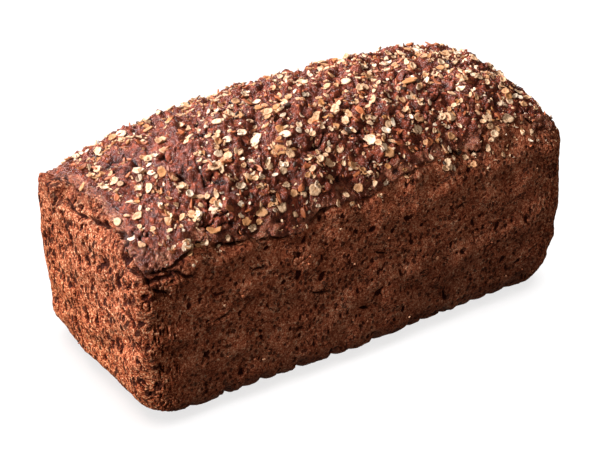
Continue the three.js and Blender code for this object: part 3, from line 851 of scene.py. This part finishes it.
def crust_finish(name, colours, specular):
    """Grainy brown walls that pass into the darker, smoother skin that browned on the crown."""
    wall = tuple(colours.wall)
    skin = tuple(colours.skin)
    f = Finish(name)
    skin_share = f.fact("skin")
    end_share = f.fact("end")
    fine = f.fact("fine")

    # A sandy grain all over, with small round grains in it, bolder on the ends
    speck, speck_own = f.grains(f.warped(1.3, 0.3), 1.2)
    sand = f.noise(0.8, 2, 0.8)
    coarse_sand = f.noise(1.9, 3, 0.7)
    grain = f.total(0.135, (-0.3, speck), (1.3, f.from_middle(sand)), (0.7, f.from_middle(coarse_sand)),
                    (0.12, f.from_middle(speck_own)))
    grain = f.math("MULTIPLY", grain, f.span(end_share, 0, 1, 0.62, 0.95))

    # Gas holes, long and aslant on the ends, and winding crevices, as bumps and as painted shade
    leaning = f.nodes.new("ShaderNodeVectorRotate")
    leaning.rotation_type = "X_AXIS"
    f.set(leaning, {"Vector": f.warped(2.5, 0.5), "Angle": -HOLE_LEAN})
    pit, pit_own = f.grains(f.vector("MULTIPLY", leaning.outputs["Vector"], (0.25, 1, 0.5)), 3.2)
    pits = f.math("MULTIPLY", f.span(pit, 0.42, 0.32), f.span(pit_own, 0.38, 0.42))
    dot, dot_own = f.grains(f.warped(1.2, 0.3, (0.8, 0.8, 0.7)), 2.1)
    dots = f.math("MULTIPLY", f.span(dot, 0.42, 0.3), f.span(dot_own, 0.5, 0.54))
    line = f.math("ABSOLUTE", f.from_middle(f.noise(6.5, 3, 0.6, stretch=(1, 1, 1.3), distort=0.4)))
    lines = f.math("MULTIPLY", f.span(line, 0.018, 0.004), f.span(f.noise(11, 1, 0.5), 0.5, 0.6))
    gaps = f.math("MAXIMUM", f.math("MAXIMUM", f.math("MULTIPLY", pits, f.span(end_share, 0, 1, 0.2, 1.0)),
                                    f.math("MULTIPLY", dots, 0.8)), lines)
    gaps = f.math("MULTIPLY", gaps, f.math("SUBTRACT", 1.0, skin_share))
    # Painted shade: pits, crevices, cracks and holes are coloured dark, as if shade fell in them
    hollow = f.math("MAXIMUM", f.span(f.fact("hollow"), 0.35, 0.75), gaps)

    patches = f.from_middle(f.noise(12, 3, 0.6, distort=0.4))
    # Painted shade and highlight: the tone mixes the crust's own grain and patches with the fine relief, so low
    # places are coloured darker and high ones lighter
    tone = f.total(0.525, (1.0, grain), (0.2, fine), (0.25, patches))
    wall_colour = f.ramp(tone, [
        (0.28, (0.12 * wall[0], 0.05 * wall[1], 0.03 * wall[2])),
        (0.42, (0.55 * wall[0], 0.40 * wall[1], 0.34 * wall[2])),
        (0.53, wall),
        # The palest stops are partly pale grains and partly painted highlight, standing in for glints on the crust
        (0.64, (1.4 * wall[0], 2.1 * wall[1], 2.6 * wall[2])),
        (0.78, (2.1 * wall[0], 4.8 * wall[1], 7.0 * wall[2])),
    ])
    wall_colour = f.blend(f.fact("warm"), wall_colour, (1.1, 0.9, 0.7), "MULTIPLY")
    # The colour of the painted shade in pits, crevices, cracks and holes
    deep = (0.07 * wall[0], 0.02 * wall[1], 0.015 * wall[2])
    wall_colour = f.blend(f.math("MULTIPLY", hollow, 0.93), wall_colour, deep)

    mottle = f.noise(2.6, 5, 0.68, distort=0.9)
    # Painted shade: the skin's tone follows its own mottle and, a little, the fine relief, darker in low places
    skin_colour = f.ramp(f.total(0.0, (1.0, mottle), (0.12, fine)), [
        (0.28, (0.25 * skin[0], 0.16 * skin[1], 0.12 * skin[2])), (0.45, shade(skin, 0.75)),
        (0.57, shade(skin, 1.4)), (0.70, (2.8 * skin[0], 3.0 * skin[1], 2.6 * skin[2])),
    ])
    # Painted shade in the skin's creases, cracks and holes
    skin_colour = f.blend(f.math("MULTIPLY", hollow, 0.7), skin_colour, shade(skin, 0.15))
    colour = f.blend(skin_share, wall_colour, skin_colour)
    # Painted shade in the torn groove under the lip
    colour = f.blend(f.math("MULTIPLY", f.fact("tear"), 0.9, True), colour, shade(deep, 0.6))
    # Painted shade on the long walls, darker towards their foot and towards +X
    colour = f.blend(f.fact("bake"), colour, (0.0, 0.0, 0.0))
    height = f.total(0.0, (0.5, grain), (0.6, f.math("MULTIPLY", mottle, skin_share)), (-0.5, gaps))
    return f.done(colour, f.span(skin_share, 0.0, 1.0, 0.55, 0.22), f.bump(height, 2.0, 0.9), specular)


def oat_finish(name, colours):
    """Rolled oat: cream in the middle, toasted at the rim, streaked along the grain."""
    oat, toast = tuple(colours.oat), tuple(colours.toast)
    f = Finish(name)
    own, rim = f.fact("own"), f.fact("rim")
    streaks = f.noise(0.9, 3, 0.6, distort=1.0)
    blotches = f.noise(1.7, 3, 0.65, distort=0.6)
    pale = f.ramp(own, [(0.0, (0.77, 0.66, 0.53)), (0.3, oat), (0.7, mix3(oat, toast, 0.45)), (1.0, toast)])
    edge = f.math("MULTIPLY", f.span(rim, 0.7, 1.0), f.span(streaks, 0.35, 0.65, 0.1, 0.8))
    colour = f.blend(edge, pale, shade(toast, 0.8))
    spot = f.math("MULTIPLY", f.span(rim, 0.6, 0.1), f.span(own, 0.15, 0.9, 0.0, 0.85), True)
    colour = f.blend(spot, colour, shade(toast, 0.75))
    colour = f.blend(f.span(streaks, 0.55, 0.75, 0.0, 0.4), colour, shade(toast, 0.7))
    colour = f.blend(f.span(blotches, 0.52, 0.68, 0.0, 0.75), colour, toast)
    return f.done(colour, 0.7, f.bump(f.math("ADD", streaks, blotches), 0.8, 0.7))


def mix3(a, b, share):
    return tuple(mix(x, y, share) for x, y in zip(a, b))


def bran_finish(colours):
    bran = tuple(colours.bran)
    f = Finish("bran_husk")
    streaks = f.noise(0.8, 3, 0.6)
    tone = f.math("ADD", f.math("MULTIPLY", f.fact("own"), 0.6), f.math("MULTIPLY", streaks, 0.4))
    colour = f.ramp(tone, [(0.2, shade(bran, 0.45)), (0.5, bran), (0.8, shade(bran, 1.45))])
    return f.done(colour, 0.5, f.bump(streaks, 0.25, 0.5))


def seed_finish(colours):
    seed = tuple(colours.seed)
    f = Finish("seed_hull")
    streaks = f.noise(0.7, 2, 0.5)
    colour = f.ramp(streaks, [(0.3, shade(seed, 0.5)), (0.6, seed), (0.8, shade(seed, 2.0))])
    return f.done(colour, 0.4, f.bump(streaks, 0.15, 0.4))


def crumb_finish(colours):
    wall = tuple(colours.wall)
    f = Finish("rye_crumb")
    grain = f.noise(0.6, 3, 0.6)
    tone = f.total(0.0, (0.6, f.fact("own")), (0.4, grain))
    colour = f.ramp(tone, [(0.2, shade(wall, 0.8)), (0.6, (2.0 * wall[0], 2.4 * wall[1], 2.4 * wall[2])),
                           (0.85, tuple(colours.oat))])
    return f.done(colour, 0.8, f.bump(grain, 0.4, 0.6))


def floor_finish(colours):
    f = Finish("pale_floor")
    wash = f.noise(180, 2, 0.5)
    tint = tuple(colours.floor)
    colour = f.ramp(wash, [(0.3, shade(tint, 0.99)), (0.7, shade(tint, 1.01))])
    return f.done(colour, 0.9)


# ---------------------------------------------------------------------------
# Toppings

def has_room(places, x, lean, length):
    for other in places:
        across = HEART_HEIGHT * math.radians(other["lean"] - lean)
        if math.hypot(other["x"] - x, across) <= FLAKE_SPACING * (other["length"] + length) / 2:
            return False
    return True


def flakes_in_relief(size):
    """The places of the largest flakes: the bold ones, then others from the largest down."""
    draw = Draws(FLAKE_SEED)
    places = [
        {"x": x, "lean": lean, "turn": math.radians(turn), "oval": width / length, "tilt": 0.0, "length": length}
        for x, lean, turn, length, width in BOLD_FLAKES
    ]
    half_span = size.length / 2 - FLAKE_END_MARGIN
    while len(places) < FLAKES_IN_RELIEF:
        x = half_span * (2 * draw() - 1)
        lean = FLAKE_LEAN * (2 * draw() - 1)
        turn = math.pi * draw()
        oval = FLAKE_NARROWEST + (FLAKE_ROUNDEST - FLAKE_NARROWEST) * draw()
        tilt = FLAKE_TILT * (2 * draw() - 1)
        edge = float(smoothstep(abs(lean), FLAKE_FULL_LEAN, FLAKE_LEAN))
        kept = draw() < mix(1, FLAKE_EDGE_SHARE, edge)
        length = mix(FLAKE_LONGEST, FLAKE_SHORTEST, len(places) / FLAKES_IN_RELIEF)
        if kept and has_room(places, x, lean, length):
            places.append({"x": x, "lean": lean, "turn": turn, "oval": oval, "tilt": tilt, "length": length})
    return places


def scattered(size, count, seed, longest, shortest, ovals, spread, edge_share, tilt):
    """Places drawn at random over the crown, in clumps, fewer where it turns down towards the lip."""
    rng = np.random.default_rng(seed)
    places = []
    while len(places) < count:
        x = rng.uniform(BARE_END - size.length / 2, size.length / 2 - TOPPED_END)
        lean = spread * rng.uniform(-1, 1)
        edge = float(smoothstep(abs(lean), SPARSE_FROM * spread, spread))
        spot = np.array([x, HEART_HEIGHT * math.radians(lean), 0]) / CLUMP_SIZE
        clumped = float(smoothstep(noise(spot, 91), -0.55, 0.35))
        if rng.random() > mix(1, edge_share, edge) * mix(BETWEEN_CLUMPS, 1, clumped):
            continue
        places.append({
            "x": x, "lean": lean, "turn": math.pi * rng.random(), "oval": rng.uniform(*ovals),
            "tilt": tilt * rng.normal(), "length": mix(shortest, longest, rng.random() ** 2),
        })
    return places


def crumb_places(size, count, seed):
    """Named crumbs on the front wall, then others at random over all four walls."""
    rng = np.random.default_rng(seed)
    places = [
        {"outward": (0, -1), "along": along, "height": height, "length": length}
        for along, height, length in FRONT_CRUMBS
    ]
    walls = (((0, -1), size.length), ((0, 1), size.length), ((-1, 0), size.width), ((1, 0), size.width))
    shares = np.array([wall[1] for wall in walls])
    while len(places) < count:
        outward, length = walls[rng.choice(4, p=shares / shares.sum())]
        places.append({
            "outward": outward, "along": (length / 2 - size.corner) * rng.uniform(-1, 1),
            "height": rng.uniform(0.12, 0.85) * size.rim, "length": mix(0.7, 2.0, rng.random() ** 3),
        })
    for place in places:
        place.update(turn=math.pi * rng.random(), oval=rng.uniform(0.6, 1.0), tilt=0.0)
    return places


def ring_topology(around, rings):
    """Triangles of a closed disc: a middle point, rings outward over the rim and back, a middle point."""
    faces = []
    last = 1 + around * rings
    for k in range(around):
        after = (k + 1) % around
        faces.append((0, 1 + k, 1 + after))
        for ring in range(rings - 1):
            a, b = 1 + ring * around, 1 + (ring + 1) * around
            faces.append((a + k, b + k, b + after))
            faces.append((a + k, b + after, a + after))
        inner = 1 + (rings - 1) * around
        faces.append((inner + k, last, inner + after))
    return np.array(faces)


def flake_shapes(places, seed, around, top_rings, thickness, cup, bend, ragged, splits=0.0, broken=0.0):
    """Thin oval flakes, cupped, bent, creased, split at the rim and broken: points, and the rim fact."""
    rng = np.random.default_rng(seed)
    count = len(places)
    angle = np.arange(around) * TAU / around
    outline = np.ones((count, around))
    for wave in (2, 3, 5):
        rise = ragged * rng.normal(size=(count, 1)) / wave
        outline += rise * np.cos(wave * angle + TAU * rng.random((count, 1)))
    outline += 0.5 * ragged * rng.normal(size=(count, around))
    for _ in range(2):
        at = angle - TAU * rng.random((count, 1))
        split = rng.uniform(0, 0.5, (count, 1)) * (rng.random((count, 1)) < splits)
        outline *= 1 - split * np.exp(-(np.sin(at / 2) / 0.13) ** 2)
    edge = np.where(rng.random((count, 1)) < broken, rng.uniform(0.1, 0.7, (count, 1)), 9.0)
    facing = np.maximum(np.cos(angle - TAU * rng.random((count, 1))), 0.01)
    outline = np.clip(np.minimum(outline, edge / facing), 0.1, 1.3)
    radii = list(top_rings) + [1.0, 0.86]
    thick = thickness * rng.uniform(0.75, 1.3, (count, 1))
    cupping = cup * rng.normal(0.5, 0.6, (count, 1))
    bending = bend * rng.normal(size=(count, 1))
    dimple = rng.uniform(0, 0.5, (count, 1)) * (rng.random((count, 1)) < 0.6)
    crease = rng.uniform(0, 0.45, (count, 1)) * (rng.random((count, 1)) < 0.45)
    points = [np.stack([np.zeros(count), np.zeros(count), (thick - dimple * thick)[:, 0]], -1)[:, None]]
    rims = [np.zeros((count, 1))]
    for number, radius in enumerate(radii):
        x = radius * outline * np.cos(angle)
        y = radius * outline * np.sin(angle)
        if number < len(top_rings):
            z = thick * (1 - dimple * np.exp(-(radius / 0.35) ** 2)) * np.ones_like(x)
            z = z - crease * thick * np.exp(-(y / 0.16) ** 2)
            z = z + 0.1 * thickness * rng.normal(size=x.shape)
        elif number == len(top_rings):
            z = 0.45 * thick * np.ones_like(x)
        else:
            z = np.zeros_like(x)
        points.append(np.stack([x, y, z], -1))
        rims.append(np.full((count, around), min(1.0, radius)))
    points.append(np.zeros((count, 1, 3)))
    rims.append(np.full((count, 1), 0.5))
    shape = np.concatenate(points, axis=1)
    shape[..., 2] += cupping * (shape[..., 0] ** 2 + shape[..., 1] ** 2) + bending * shape[..., 0] ** 2
    half = np.array([p["length"] / 2 for p in places])[:, None]
    oval = np.array([p["oval"] for p in places])[:, None]
    shape[..., 0] *= half
    shape[..., 1] *= half * oval
    return shape, np.concatenate(rims, axis=1)


def crust_trees():
    """The two parts of the crust, ready for lines to be cast on them."""
    parts = [bpy.data.objects.get(name) for name in ("crust_walls", "crust_crown")]
    if None in parts:
        raise RuntimeError("make the crust before its toppings")
    return [BVHTree.FromObject(part, bpy.context.evaluated_depsgraph_get()) for part in parts]


def meet(trees, origin, outward):
    """Where a line from outside towards an inner point first meets the crust, in millimetres."""
    start = Vector(origin) * MM + Vector(outward) * CAST_FROM
    hits = [tree.ray_cast(start, -Vector(outward)) for tree in trees]
    hits = [(hit[3], hit[0]) for hit in hits if hit[0] is not None]
    if not hits:
        raise RuntimeError("a topping found no crust under it")
    return np.array(min(hits, key=lambda hit: hit[0])[1]) / MM


def on_crown(trees, place, ahead, aside):
    """A point of the crown a little way along and across from a place."""
    lean = math.radians(place["lean"]) + aside / HEART_HEIGHT / CROWN_DISTANCE
    return meet(trees, (place["x"] + ahead, 0, HEART_HEIGHT), (0, math.sin(lean), math.cos(lean)))


def on_walls(trees, place, ahead, aside):
    """A point of a wall a little way along and up from a place."""
    out_x, out_y = place["outward"]
    origin = (abs(out_y) * (place["along"] + ahead), abs(out_x) * (place["along"] + ahead), place["height"] + aside)
    return meet(trees, origin, (out_x, out_y, 0))


def seat(trees, where, place, sink, levelled):
    """The frame of axes in which a topping lies on the crust."""
    step = SEAT_REACH * place["length"]
    ahead, behind = where(trees, place, step, 0), where(trees, place, -step, 0)
    far, near = where(trees, place, 0, step), where(trees, place, 0, -step)
    middle = where(trees, place, 0, 0)
    normal = np.cross(ahead - behind, far - near)
    normal *= np.sign(np.dot(normal, middle - (middle[0], 0, HEART_HEIGHT))) / np.linalg.norm(normal)
    level = max(np.dot(p - middle, normal) for p in (ahead, behind, far, near, middle))
    centre = middle + normal * (SEAT_LIFT * max(level, 0) - sink)
    normal = normal + np.array([0, 0, levelled])
    upright = Vector((0, 0, 1)).rotation_difference(Vector(normal)).to_matrix()
    turn = Matrix.Rotation(place["tilt"], 3, "Y") @ Matrix.Rotation(place["turn"], 3, "Z")
    return np.array(upright @ turn), centre


def lay(name, material, places, seed, around, top_rings, sink, where=on_crown, levelled=0.3, **form):
    """One piece made of many like toppings, each shaped and then seated on the crust."""
    shapes, rims = flake_shapes(places, seed, around, top_rings, **form)
    triangles = ring_topology(around, len(top_rings) + 2)
    rng = np.random.default_rng(seed + 1)
    trees = crust_trees()
    laid = np.empty_like(shapes)
    for i, place in enumerate(places):
        axes, centre = seat(trees, where, place, sink, levelled)
        laid[i] = shapes[i] @ axes.T + centre
    count, corners = shapes.shape[:2]
    faces = (triangles[None] + corners * np.arange(count)[:, None, None]).reshape(-1, 3)
    mesh = new_mesh(name, laid.reshape(-1, 3), faces)
    give_facts(mesh, {"own": np.repeat(rng.random(count), corners), "rim": rims.ravel()})
    piece = new_piece(name, mesh, material)
    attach(piece, "root")
    return piece


# ---------------------------------------------------------------------------
# What a user may change

class LoafSizes(PropertyGroup):
    length: FloatProperty(name="Length", description="Length of the loaf over its end walls",
                          default=0.260, min=0.1, max=0.5, unit="LENGTH")
    width: FloatProperty(name="Width", description="Width of the loaf over its side walls",
                         default=0.114, min=0.05, max=0.3, unit="LENGTH")
    rim: FloatProperty(name="Rim height", description="Height at which the crown starts",
                       default=0.0955, min=0.04, max=0.2, unit="LENGTH")
    corner: FloatProperty(name="Corner radius", description="Radius of the upright corners",
                          default=0.0185, min=0.005, max=0.04, unit="LENGTH")
    base_round: FloatProperty(name="Foot radius", description="Radius of the foot of the walls",
                              default=0.017, min=0.005, max=0.03, unit="LENGTH")
    shoulder: FloatProperty(name="Shoulder radius", description="Radius where the walls turn into the crown",
                            default=0.0115, min=0.005, max=0.03, unit="LENGTH")
    rise: FloatProperty(name="Crown rise", description="How far the crown rose above the rim",
                        default=0.0345, min=0, max=0.06, unit="LENGTH")
    lip_roll: FloatProperty(name="Lip roll", description="How far the torn lip stands out",
                            default=0.0002, min=0, max=0.004, unit="LENGTH")
    lip_recess: FloatProperty(name="Lip recess", description="How far the wall falls back under the lip",
                              default=0.0010, min=0, max=0.006, unit="LENGTH")
    lip_groove: FloatProperty(name="Lip groove", description="Depth of the open tear along the lip",
                              default=0.0030, min=0, max=0.006, unit="LENGTH")
    cell: FloatProperty(name="Cell", description="Size of the grid that carries the crust's relief",
                        default=0.00052, min=0.0005, max=0.005, unit="LENGTH")
    most_triangles: IntProperty(name="Most triangles", description="Most triangles that the crust may have",
                                default=196000, min=10000, max=199000)


class LoafToppings(PropertyGroup):
    small_flakes: IntProperty(name="Small flakes", description="Number of smaller oat flakes",
                              default=760, min=0, max=900)
    bits: IntProperty(name="Oat bits", description="Number of broken bits of oat", default=1700, min=0, max=3000)
    bran: IntProperty(name="Bran husks", description="Number of red-brown husks", default=700, min=0, max=2000)
    seeds: IntProperty(name="Seeds", description="Number of dark seeds", default=24, min=0, max=400)
    crumbs: IntProperty(name="Crumbs", description="Number of crumbs on the walls", default=110, min=0, max=400)
    seed: IntProperty(name="Seed", description="Start of the random draws", default=7, min=0)


class LoafColours(PropertyGroup):
    wall: FloatVectorProperty(name="Walls", description="Colour of the porous walls", subtype="COLOR",
                              default=(0.35, 0.100, 0.046), min=0, max=1)
    skin: FloatVectorProperty(name="Skin", description="Colour of the crown's skin", subtype="COLOR",
                              default=(0.110, 0.022, 0.0115), min=0, max=1)
    oat: FloatVectorProperty(name="Oats", description="Colour of a pale oat flake", subtype="COLOR",
                             default=(0.72, 0.52, 0.345), min=0, max=1)
    toast: FloatVectorProperty(name="Toasted oats", description="Colour of a toasted oat flake",
                               subtype="COLOR", default=(0.42, 0.17, 0.05), min=0, max=1)
    bran: FloatVectorProperty(name="Bran", description="Colour of the bran husks", subtype="COLOR",
                              default=(0.30, 0.085, 0.028), min=0, max=1)
    seed: FloatVectorProperty(name="Seeds", description="Colour of the seeds", subtype="COLOR",
                              default=(0.055, 0.028, 0.018), min=0, max=1)
    floor: FloatVectorProperty(name="Floor", description="Colour of the floor", subtype="COLOR",
                               default=(0.86, 0.86, 0.86), min=0, max=1)


class StageSettings(PropertyGroup):
    key: FloatProperty(name="Key light", description="Strength of the light on the end", default=6.2, min=0)
    back_light: FloatProperty(name="Back light", description="Strength of the light from behind the crown",
                              default=6.0, min=0)
    fill: FloatProperty(name="Fill light", description="Strength of the light on the front", default=1.15, min=0)
    sky: FloatProperty(name="Sky", description="Strength of the light from all round", default=0.1, min=0)
    floor_light: FloatProperty(name="Floor light", description="Strength of the light on the floor alone",
                               default=1.5, min=0)
    floor_glow: FloatProperty(name="Floor glow", description="Strength of the shadowless light on the floor",
                              default=2.75, min=0)
    lens: FloatProperty(name="Lens", description="Focal length", default=115.13, min=20, max=300,
                        subtype="DISTANCE_CAMERA")


class LoafInMillimetres:
    """The loaf's sizes in millimetres, for the work on its form."""

    def __init__(self, sizes):
        for name in ("length", "width", "rim", "corner", "base_round", "shoulder", "rise", "lip_roll",
                     "lip_recess", "lip_groove", "cell"):
            setattr(self, name, getattr(sizes, name) / MM)
        self.most_triangles = sizes.most_triangles


# ---------------------------------------------------------------------------
# Operators

class LOAF_OT_crust(Operator):
    """Makes the crust, with its torn lip, gas holes, cracks and the rack's grooves"""

    bl_idname = "loaf.make_crust"
    bl_label = "Make crust"

    def execute(self, context):
        size = LoafInMillimetres(context.scene.loaf_sizes)
        cell = size.cell
        colours = context.scene.loaf_colours
        crusts = (
            ("crust_walls", False, crust_finish("rye_wall", colours, specular=0.1)),
            ("crust_crown", True, crust_finish("rye_skin", colours, specular=0.5)),
        )
        for name, crown, finish in crusts:
            points, faces, facts = crust_surface(size, CrustGrid(size, cell, crown))
            mesh = new_mesh(name, points, faces)
            give_facts(mesh, facts)
            crust = new_piece(name, mesh, finish)
            thinned(crust, size.most_triangles)
            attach(crust, "root")
            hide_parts("loaf")
        return {"FINISHED"}


class LOAF_OT_flakes(Operator):
    """Lays the oat flakes on the crown, the largest first"""

    bl_idname = "loaf.lay_flakes"
    bl_label = "Lay oat flakes"

    def execute(self, context):
        size = LoafInMillimetres(context.scene.loaf_sizes)
        toppings = context.scene.loaf_toppings
        places = flakes_in_relief(size)
        places += scattered(size, toppings.small_flakes, toppings.seed + 1, longest=5.2, shortest=3.0,
                            ovals=(0.5, 0.95), spread=62, edge_share=0.25, tilt=0.35)
        material = oat_finish("oat_flake", context.scene.loaf_colours)
        piece = lay("oat_flakes", material, places, toppings.seed + 2, around=18, top_rings=(0.35, 0.68, 0.92),
                    sink=0.15, thickness=0.65, cup=0.6, bend=0.5, ragged=0.11, splits=0.5, broken=0.15)
        return {"FINISHED"}


class LOAF_OT_bits(Operator):
    """Strews broken bits of oat between the flakes"""

    bl_idname = "loaf.strew_bits"
    bl_label = "Strew oat bits"

    def execute(self, context):
        size = LoafInMillimetres(context.scene.loaf_sizes)
        toppings = context.scene.loaf_toppings
        places = scattered(size, toppings.bits, toppings.seed + 11, longest=3.4, shortest=0.9,
                           ovals=(0.25, 0.9), spread=64, edge_share=0.3, tilt=0.25)
        material = oat_finish("oat_bit", context.scene.loaf_colours)
        piece = lay("oat_bits", material, places, toppings.seed + 12, around=8, top_rings=(0.6, 0.9),
                    sink=0.1, thickness=0.45, cup=0.4, bend=0.5, ragged=0.22, splits=0.3, broken=0.4)
        return {"FINISHED"}


class LOAF_OT_bran(Operator):
    """Lays curled red-brown husks between the flakes"""

    bl_idname = "loaf.lay_bran"
    bl_label = "Lay bran"

    def execute(self, context):
        size = LoafInMillimetres(context.scene.loaf_sizes)
        toppings = context.scene.loaf_toppings
        places = scattered(size, toppings.bran, toppings.seed + 21, longest=6.5, shortest=1.4,
                           ovals=(0.18, 0.5), spread=62, edge_share=0.4, tilt=0.5)
        material = bran_finish(context.scene.loaf_colours)
        piece = lay("bran_husks", material, places, toppings.seed + 22, around=8, top_rings=(0.55, 0.88),
                    sink=0.2, thickness=0.8, cup=0.2, bend=0.7, ragged=0.2)
        return {"FINISHED"}


class LOAF_OT_seeds(Operator):
    """Presses a few dark seeds into the crown"""

    bl_idname = "loaf.press_seeds"
    bl_label = "Press in seeds"

    def execute(self, context):
        size = LoafInMillimetres(context.scene.loaf_sizes)
        toppings = context.scene.loaf_toppings
        places = scattered(size, toppings.seeds, toppings.seed + 31, longest=5.0, shortest=3.4,
                           ovals=(0.4, 0.55), spread=60, edge_share=0.5, tilt=0.2)
        material = seed_finish(context.scene.loaf_colours)
        piece = lay("seeds", material, places, toppings.seed + 32, around=10, top_rings=(0.3, 0.6, 0.85),
                    sink=0.1, thickness=1.3, cup=-0.9, bend=0.1, ragged=0.05)
        return {"FINISHED"}


class LOAF_OT_crumbs(Operator):
    """Scatters crumbs that cling to the walls"""

    bl_idname = "loaf.scatter_crumbs"
    bl_label = "Scatter crumbs"

    def execute(self, context):
        size = LoafInMillimetres(context.scene.loaf_sizes)
        toppings = context.scene.loaf_toppings
        places = crumb_places(size, toppings.crumbs, toppings.seed + 41)
        material = crumb_finish(context.scene.loaf_colours)
        piece = lay("crumbs", material, places, toppings.seed + 42, around=8, top_rings=(0.45, 0.8),
                    sink=0.15, where=on_walls, levelled=0.0, thickness=0.8, cup=-0.6, bend=0.2, ragged=0.35)
        return {"FINISHED"}


class LOAF_OT_stage(Operator):
    """Sets the floor, the lights and the camera"""

    bl_idname = "loaf.set_stage"
    bl_label = "Set stage"

    def execute(self, context):
        scene = context.scene
        stage = scene.loaf_stage
        half = FLOOR_SIZE / 2
        corners = np.array([(-half, -half, 0), (half, -half, 0), (half, half, 0), (-half, half, 0)], float)
        mesh = new_mesh("floor", corners, np.array([[0, 1, 2, 3]]), smooth=False)
        floor = new_piece("floor", mesh, floor_finish(scene.loaf_colours))

        world = bpy.data.worlds.new("studio")
        scene.world = world
        world.use_nodes = True
        background = world.node_tree.nodes["Background"]
        background.inputs["Color"].default_value = SKY_COLOUR
        background.inputs["Strength"].default_value = stage.sky

        loaf_only = bpy.data.collections.new("lit_by_key")
        for name in PIECES:
            loaf_only.objects.link(bpy.data.objects[name])
        floor_only = bpy.data.collections.new("lit_by_floor_light")
        floor_only.objects.link(floor)

        lit = {"loaf": loaf_only, "floor": floor_only}
        suns = {
            name: add_sun(name, Vector(towards), getattr(stage, name), spread, colour, lit[what])
            for name, towards, spread, colour, what in SUNS
        }
        suns["fill"].visible_glossy = False
        suns["floor_glow"].data.use_shadow = False
        floor.visible_diffuse = False
        floor.visible_glossy = False

        camera_data = bpy.data.cameras.new("camera")
        camera_data.lens = stage.lens
        camera_data.sensor_width = 36
        camera_data.clip_start = 0.01
        camera_data.clip_end = 50
        camera = bpy.data.objects.new("camera", camera_data)
        scene.collection.objects.link(camera)
        back = Vector(CAMERA_BACK)
        right = Vector(CAMERA_RIGHT)
        up = back.cross(right)
        turn = Matrix((right, up, back)).transposed().to_4x4()
        camera.matrix_world = Matrix.Translation(Vector(CAMERA_PLACE) * MM) @ turn
        scene.camera = camera
        scene.view_settings.view_transform = "Standard"
        return {"FINISHED"}


def add_sun(name, towards, strength, spread, colour, receivers):
    """A far light with a wide, soft edge, on the given pieces alone."""
    data = bpy.data.lights.new(name, "SUN")
    data.energy = strength
    data.angle = math.radians(spread)
    data.color = colour
    light = bpy.data.objects.new(name, data)
    bpy.context.scene.collection.objects.link(light)
    light.rotation_euler = towards.to_track_quat("Z", "Y").to_euler()
    light.light_linking.receiver_collection = receivers
    return light


class LOAF_PT_panel(Panel):
    """Lists the steps that build the loaf"""

    bl_label = "Tin loaf"
    bl_idname = "LOAF_PT_panel"
    bl_space_type = "VIEW_3D"
    bl_region_type = "UI"
    bl_category = "Loaf"

    def draw(self, context):
        for step in STEPS:
            self.layout.operator(step.bl_idname)
        for group in ("loaf_sizes", "loaf_toppings", "loaf_colours", "loaf_stage"):
            box = self.layout.box()
            settings = getattr(context.scene, group)
            for name in settings.bl_rna.properties.keys():
                if name not in ("rna_type", "name"):
                    box.prop(settings, name)


PIECES = ("crust_walls", "crust_crown", "oat_flakes", "oat_bits", "bran_husks", "seeds", "crumbs")
STEPS = (LOAF_OT_crust, LOAF_OT_flakes, LOAF_OT_bits, LOAF_OT_bran, LOAF_OT_seeds, LOAF_OT_crumbs,
         LOAF_OT_stage)
SETTINGS = {
    "loaf_sizes": LoafSizes, "loaf_toppings": LoafToppings, "loaf_colours": LoafColours, "loaf_stage": StageSettings,
}


def register():
    for kind in (*SETTINGS.values(), *STEPS, LOAF_PT_panel):
        bpy.utils.register_class(kind)
    for name, kind in SETTINGS.items():
        setattr(bpy.types.Scene, name, PointerProperty(type=kind))


def unregister():
    for name in SETTINGS:
        delattr(bpy.types.Scene, name)
    for kind in reversed((*SETTINGS.values(), *STEPS, LOAF_PT_panel)):
        bpy.utils.unregister_class(kind)


def main():
    register()
    bpy.ops.loaf.make_crust()
    bpy.ops.loaf.lay_flakes()
    bpy.ops.loaf.strew_bits()
    bpy.ops.loaf.lay_bran()
    bpy.ops.loaf.press_seeds()
    bpy.ops.loaf.scatter_crumbs()
    bpy.ops.loaf.set_stage()


if __name__ == "__main__":
    main()
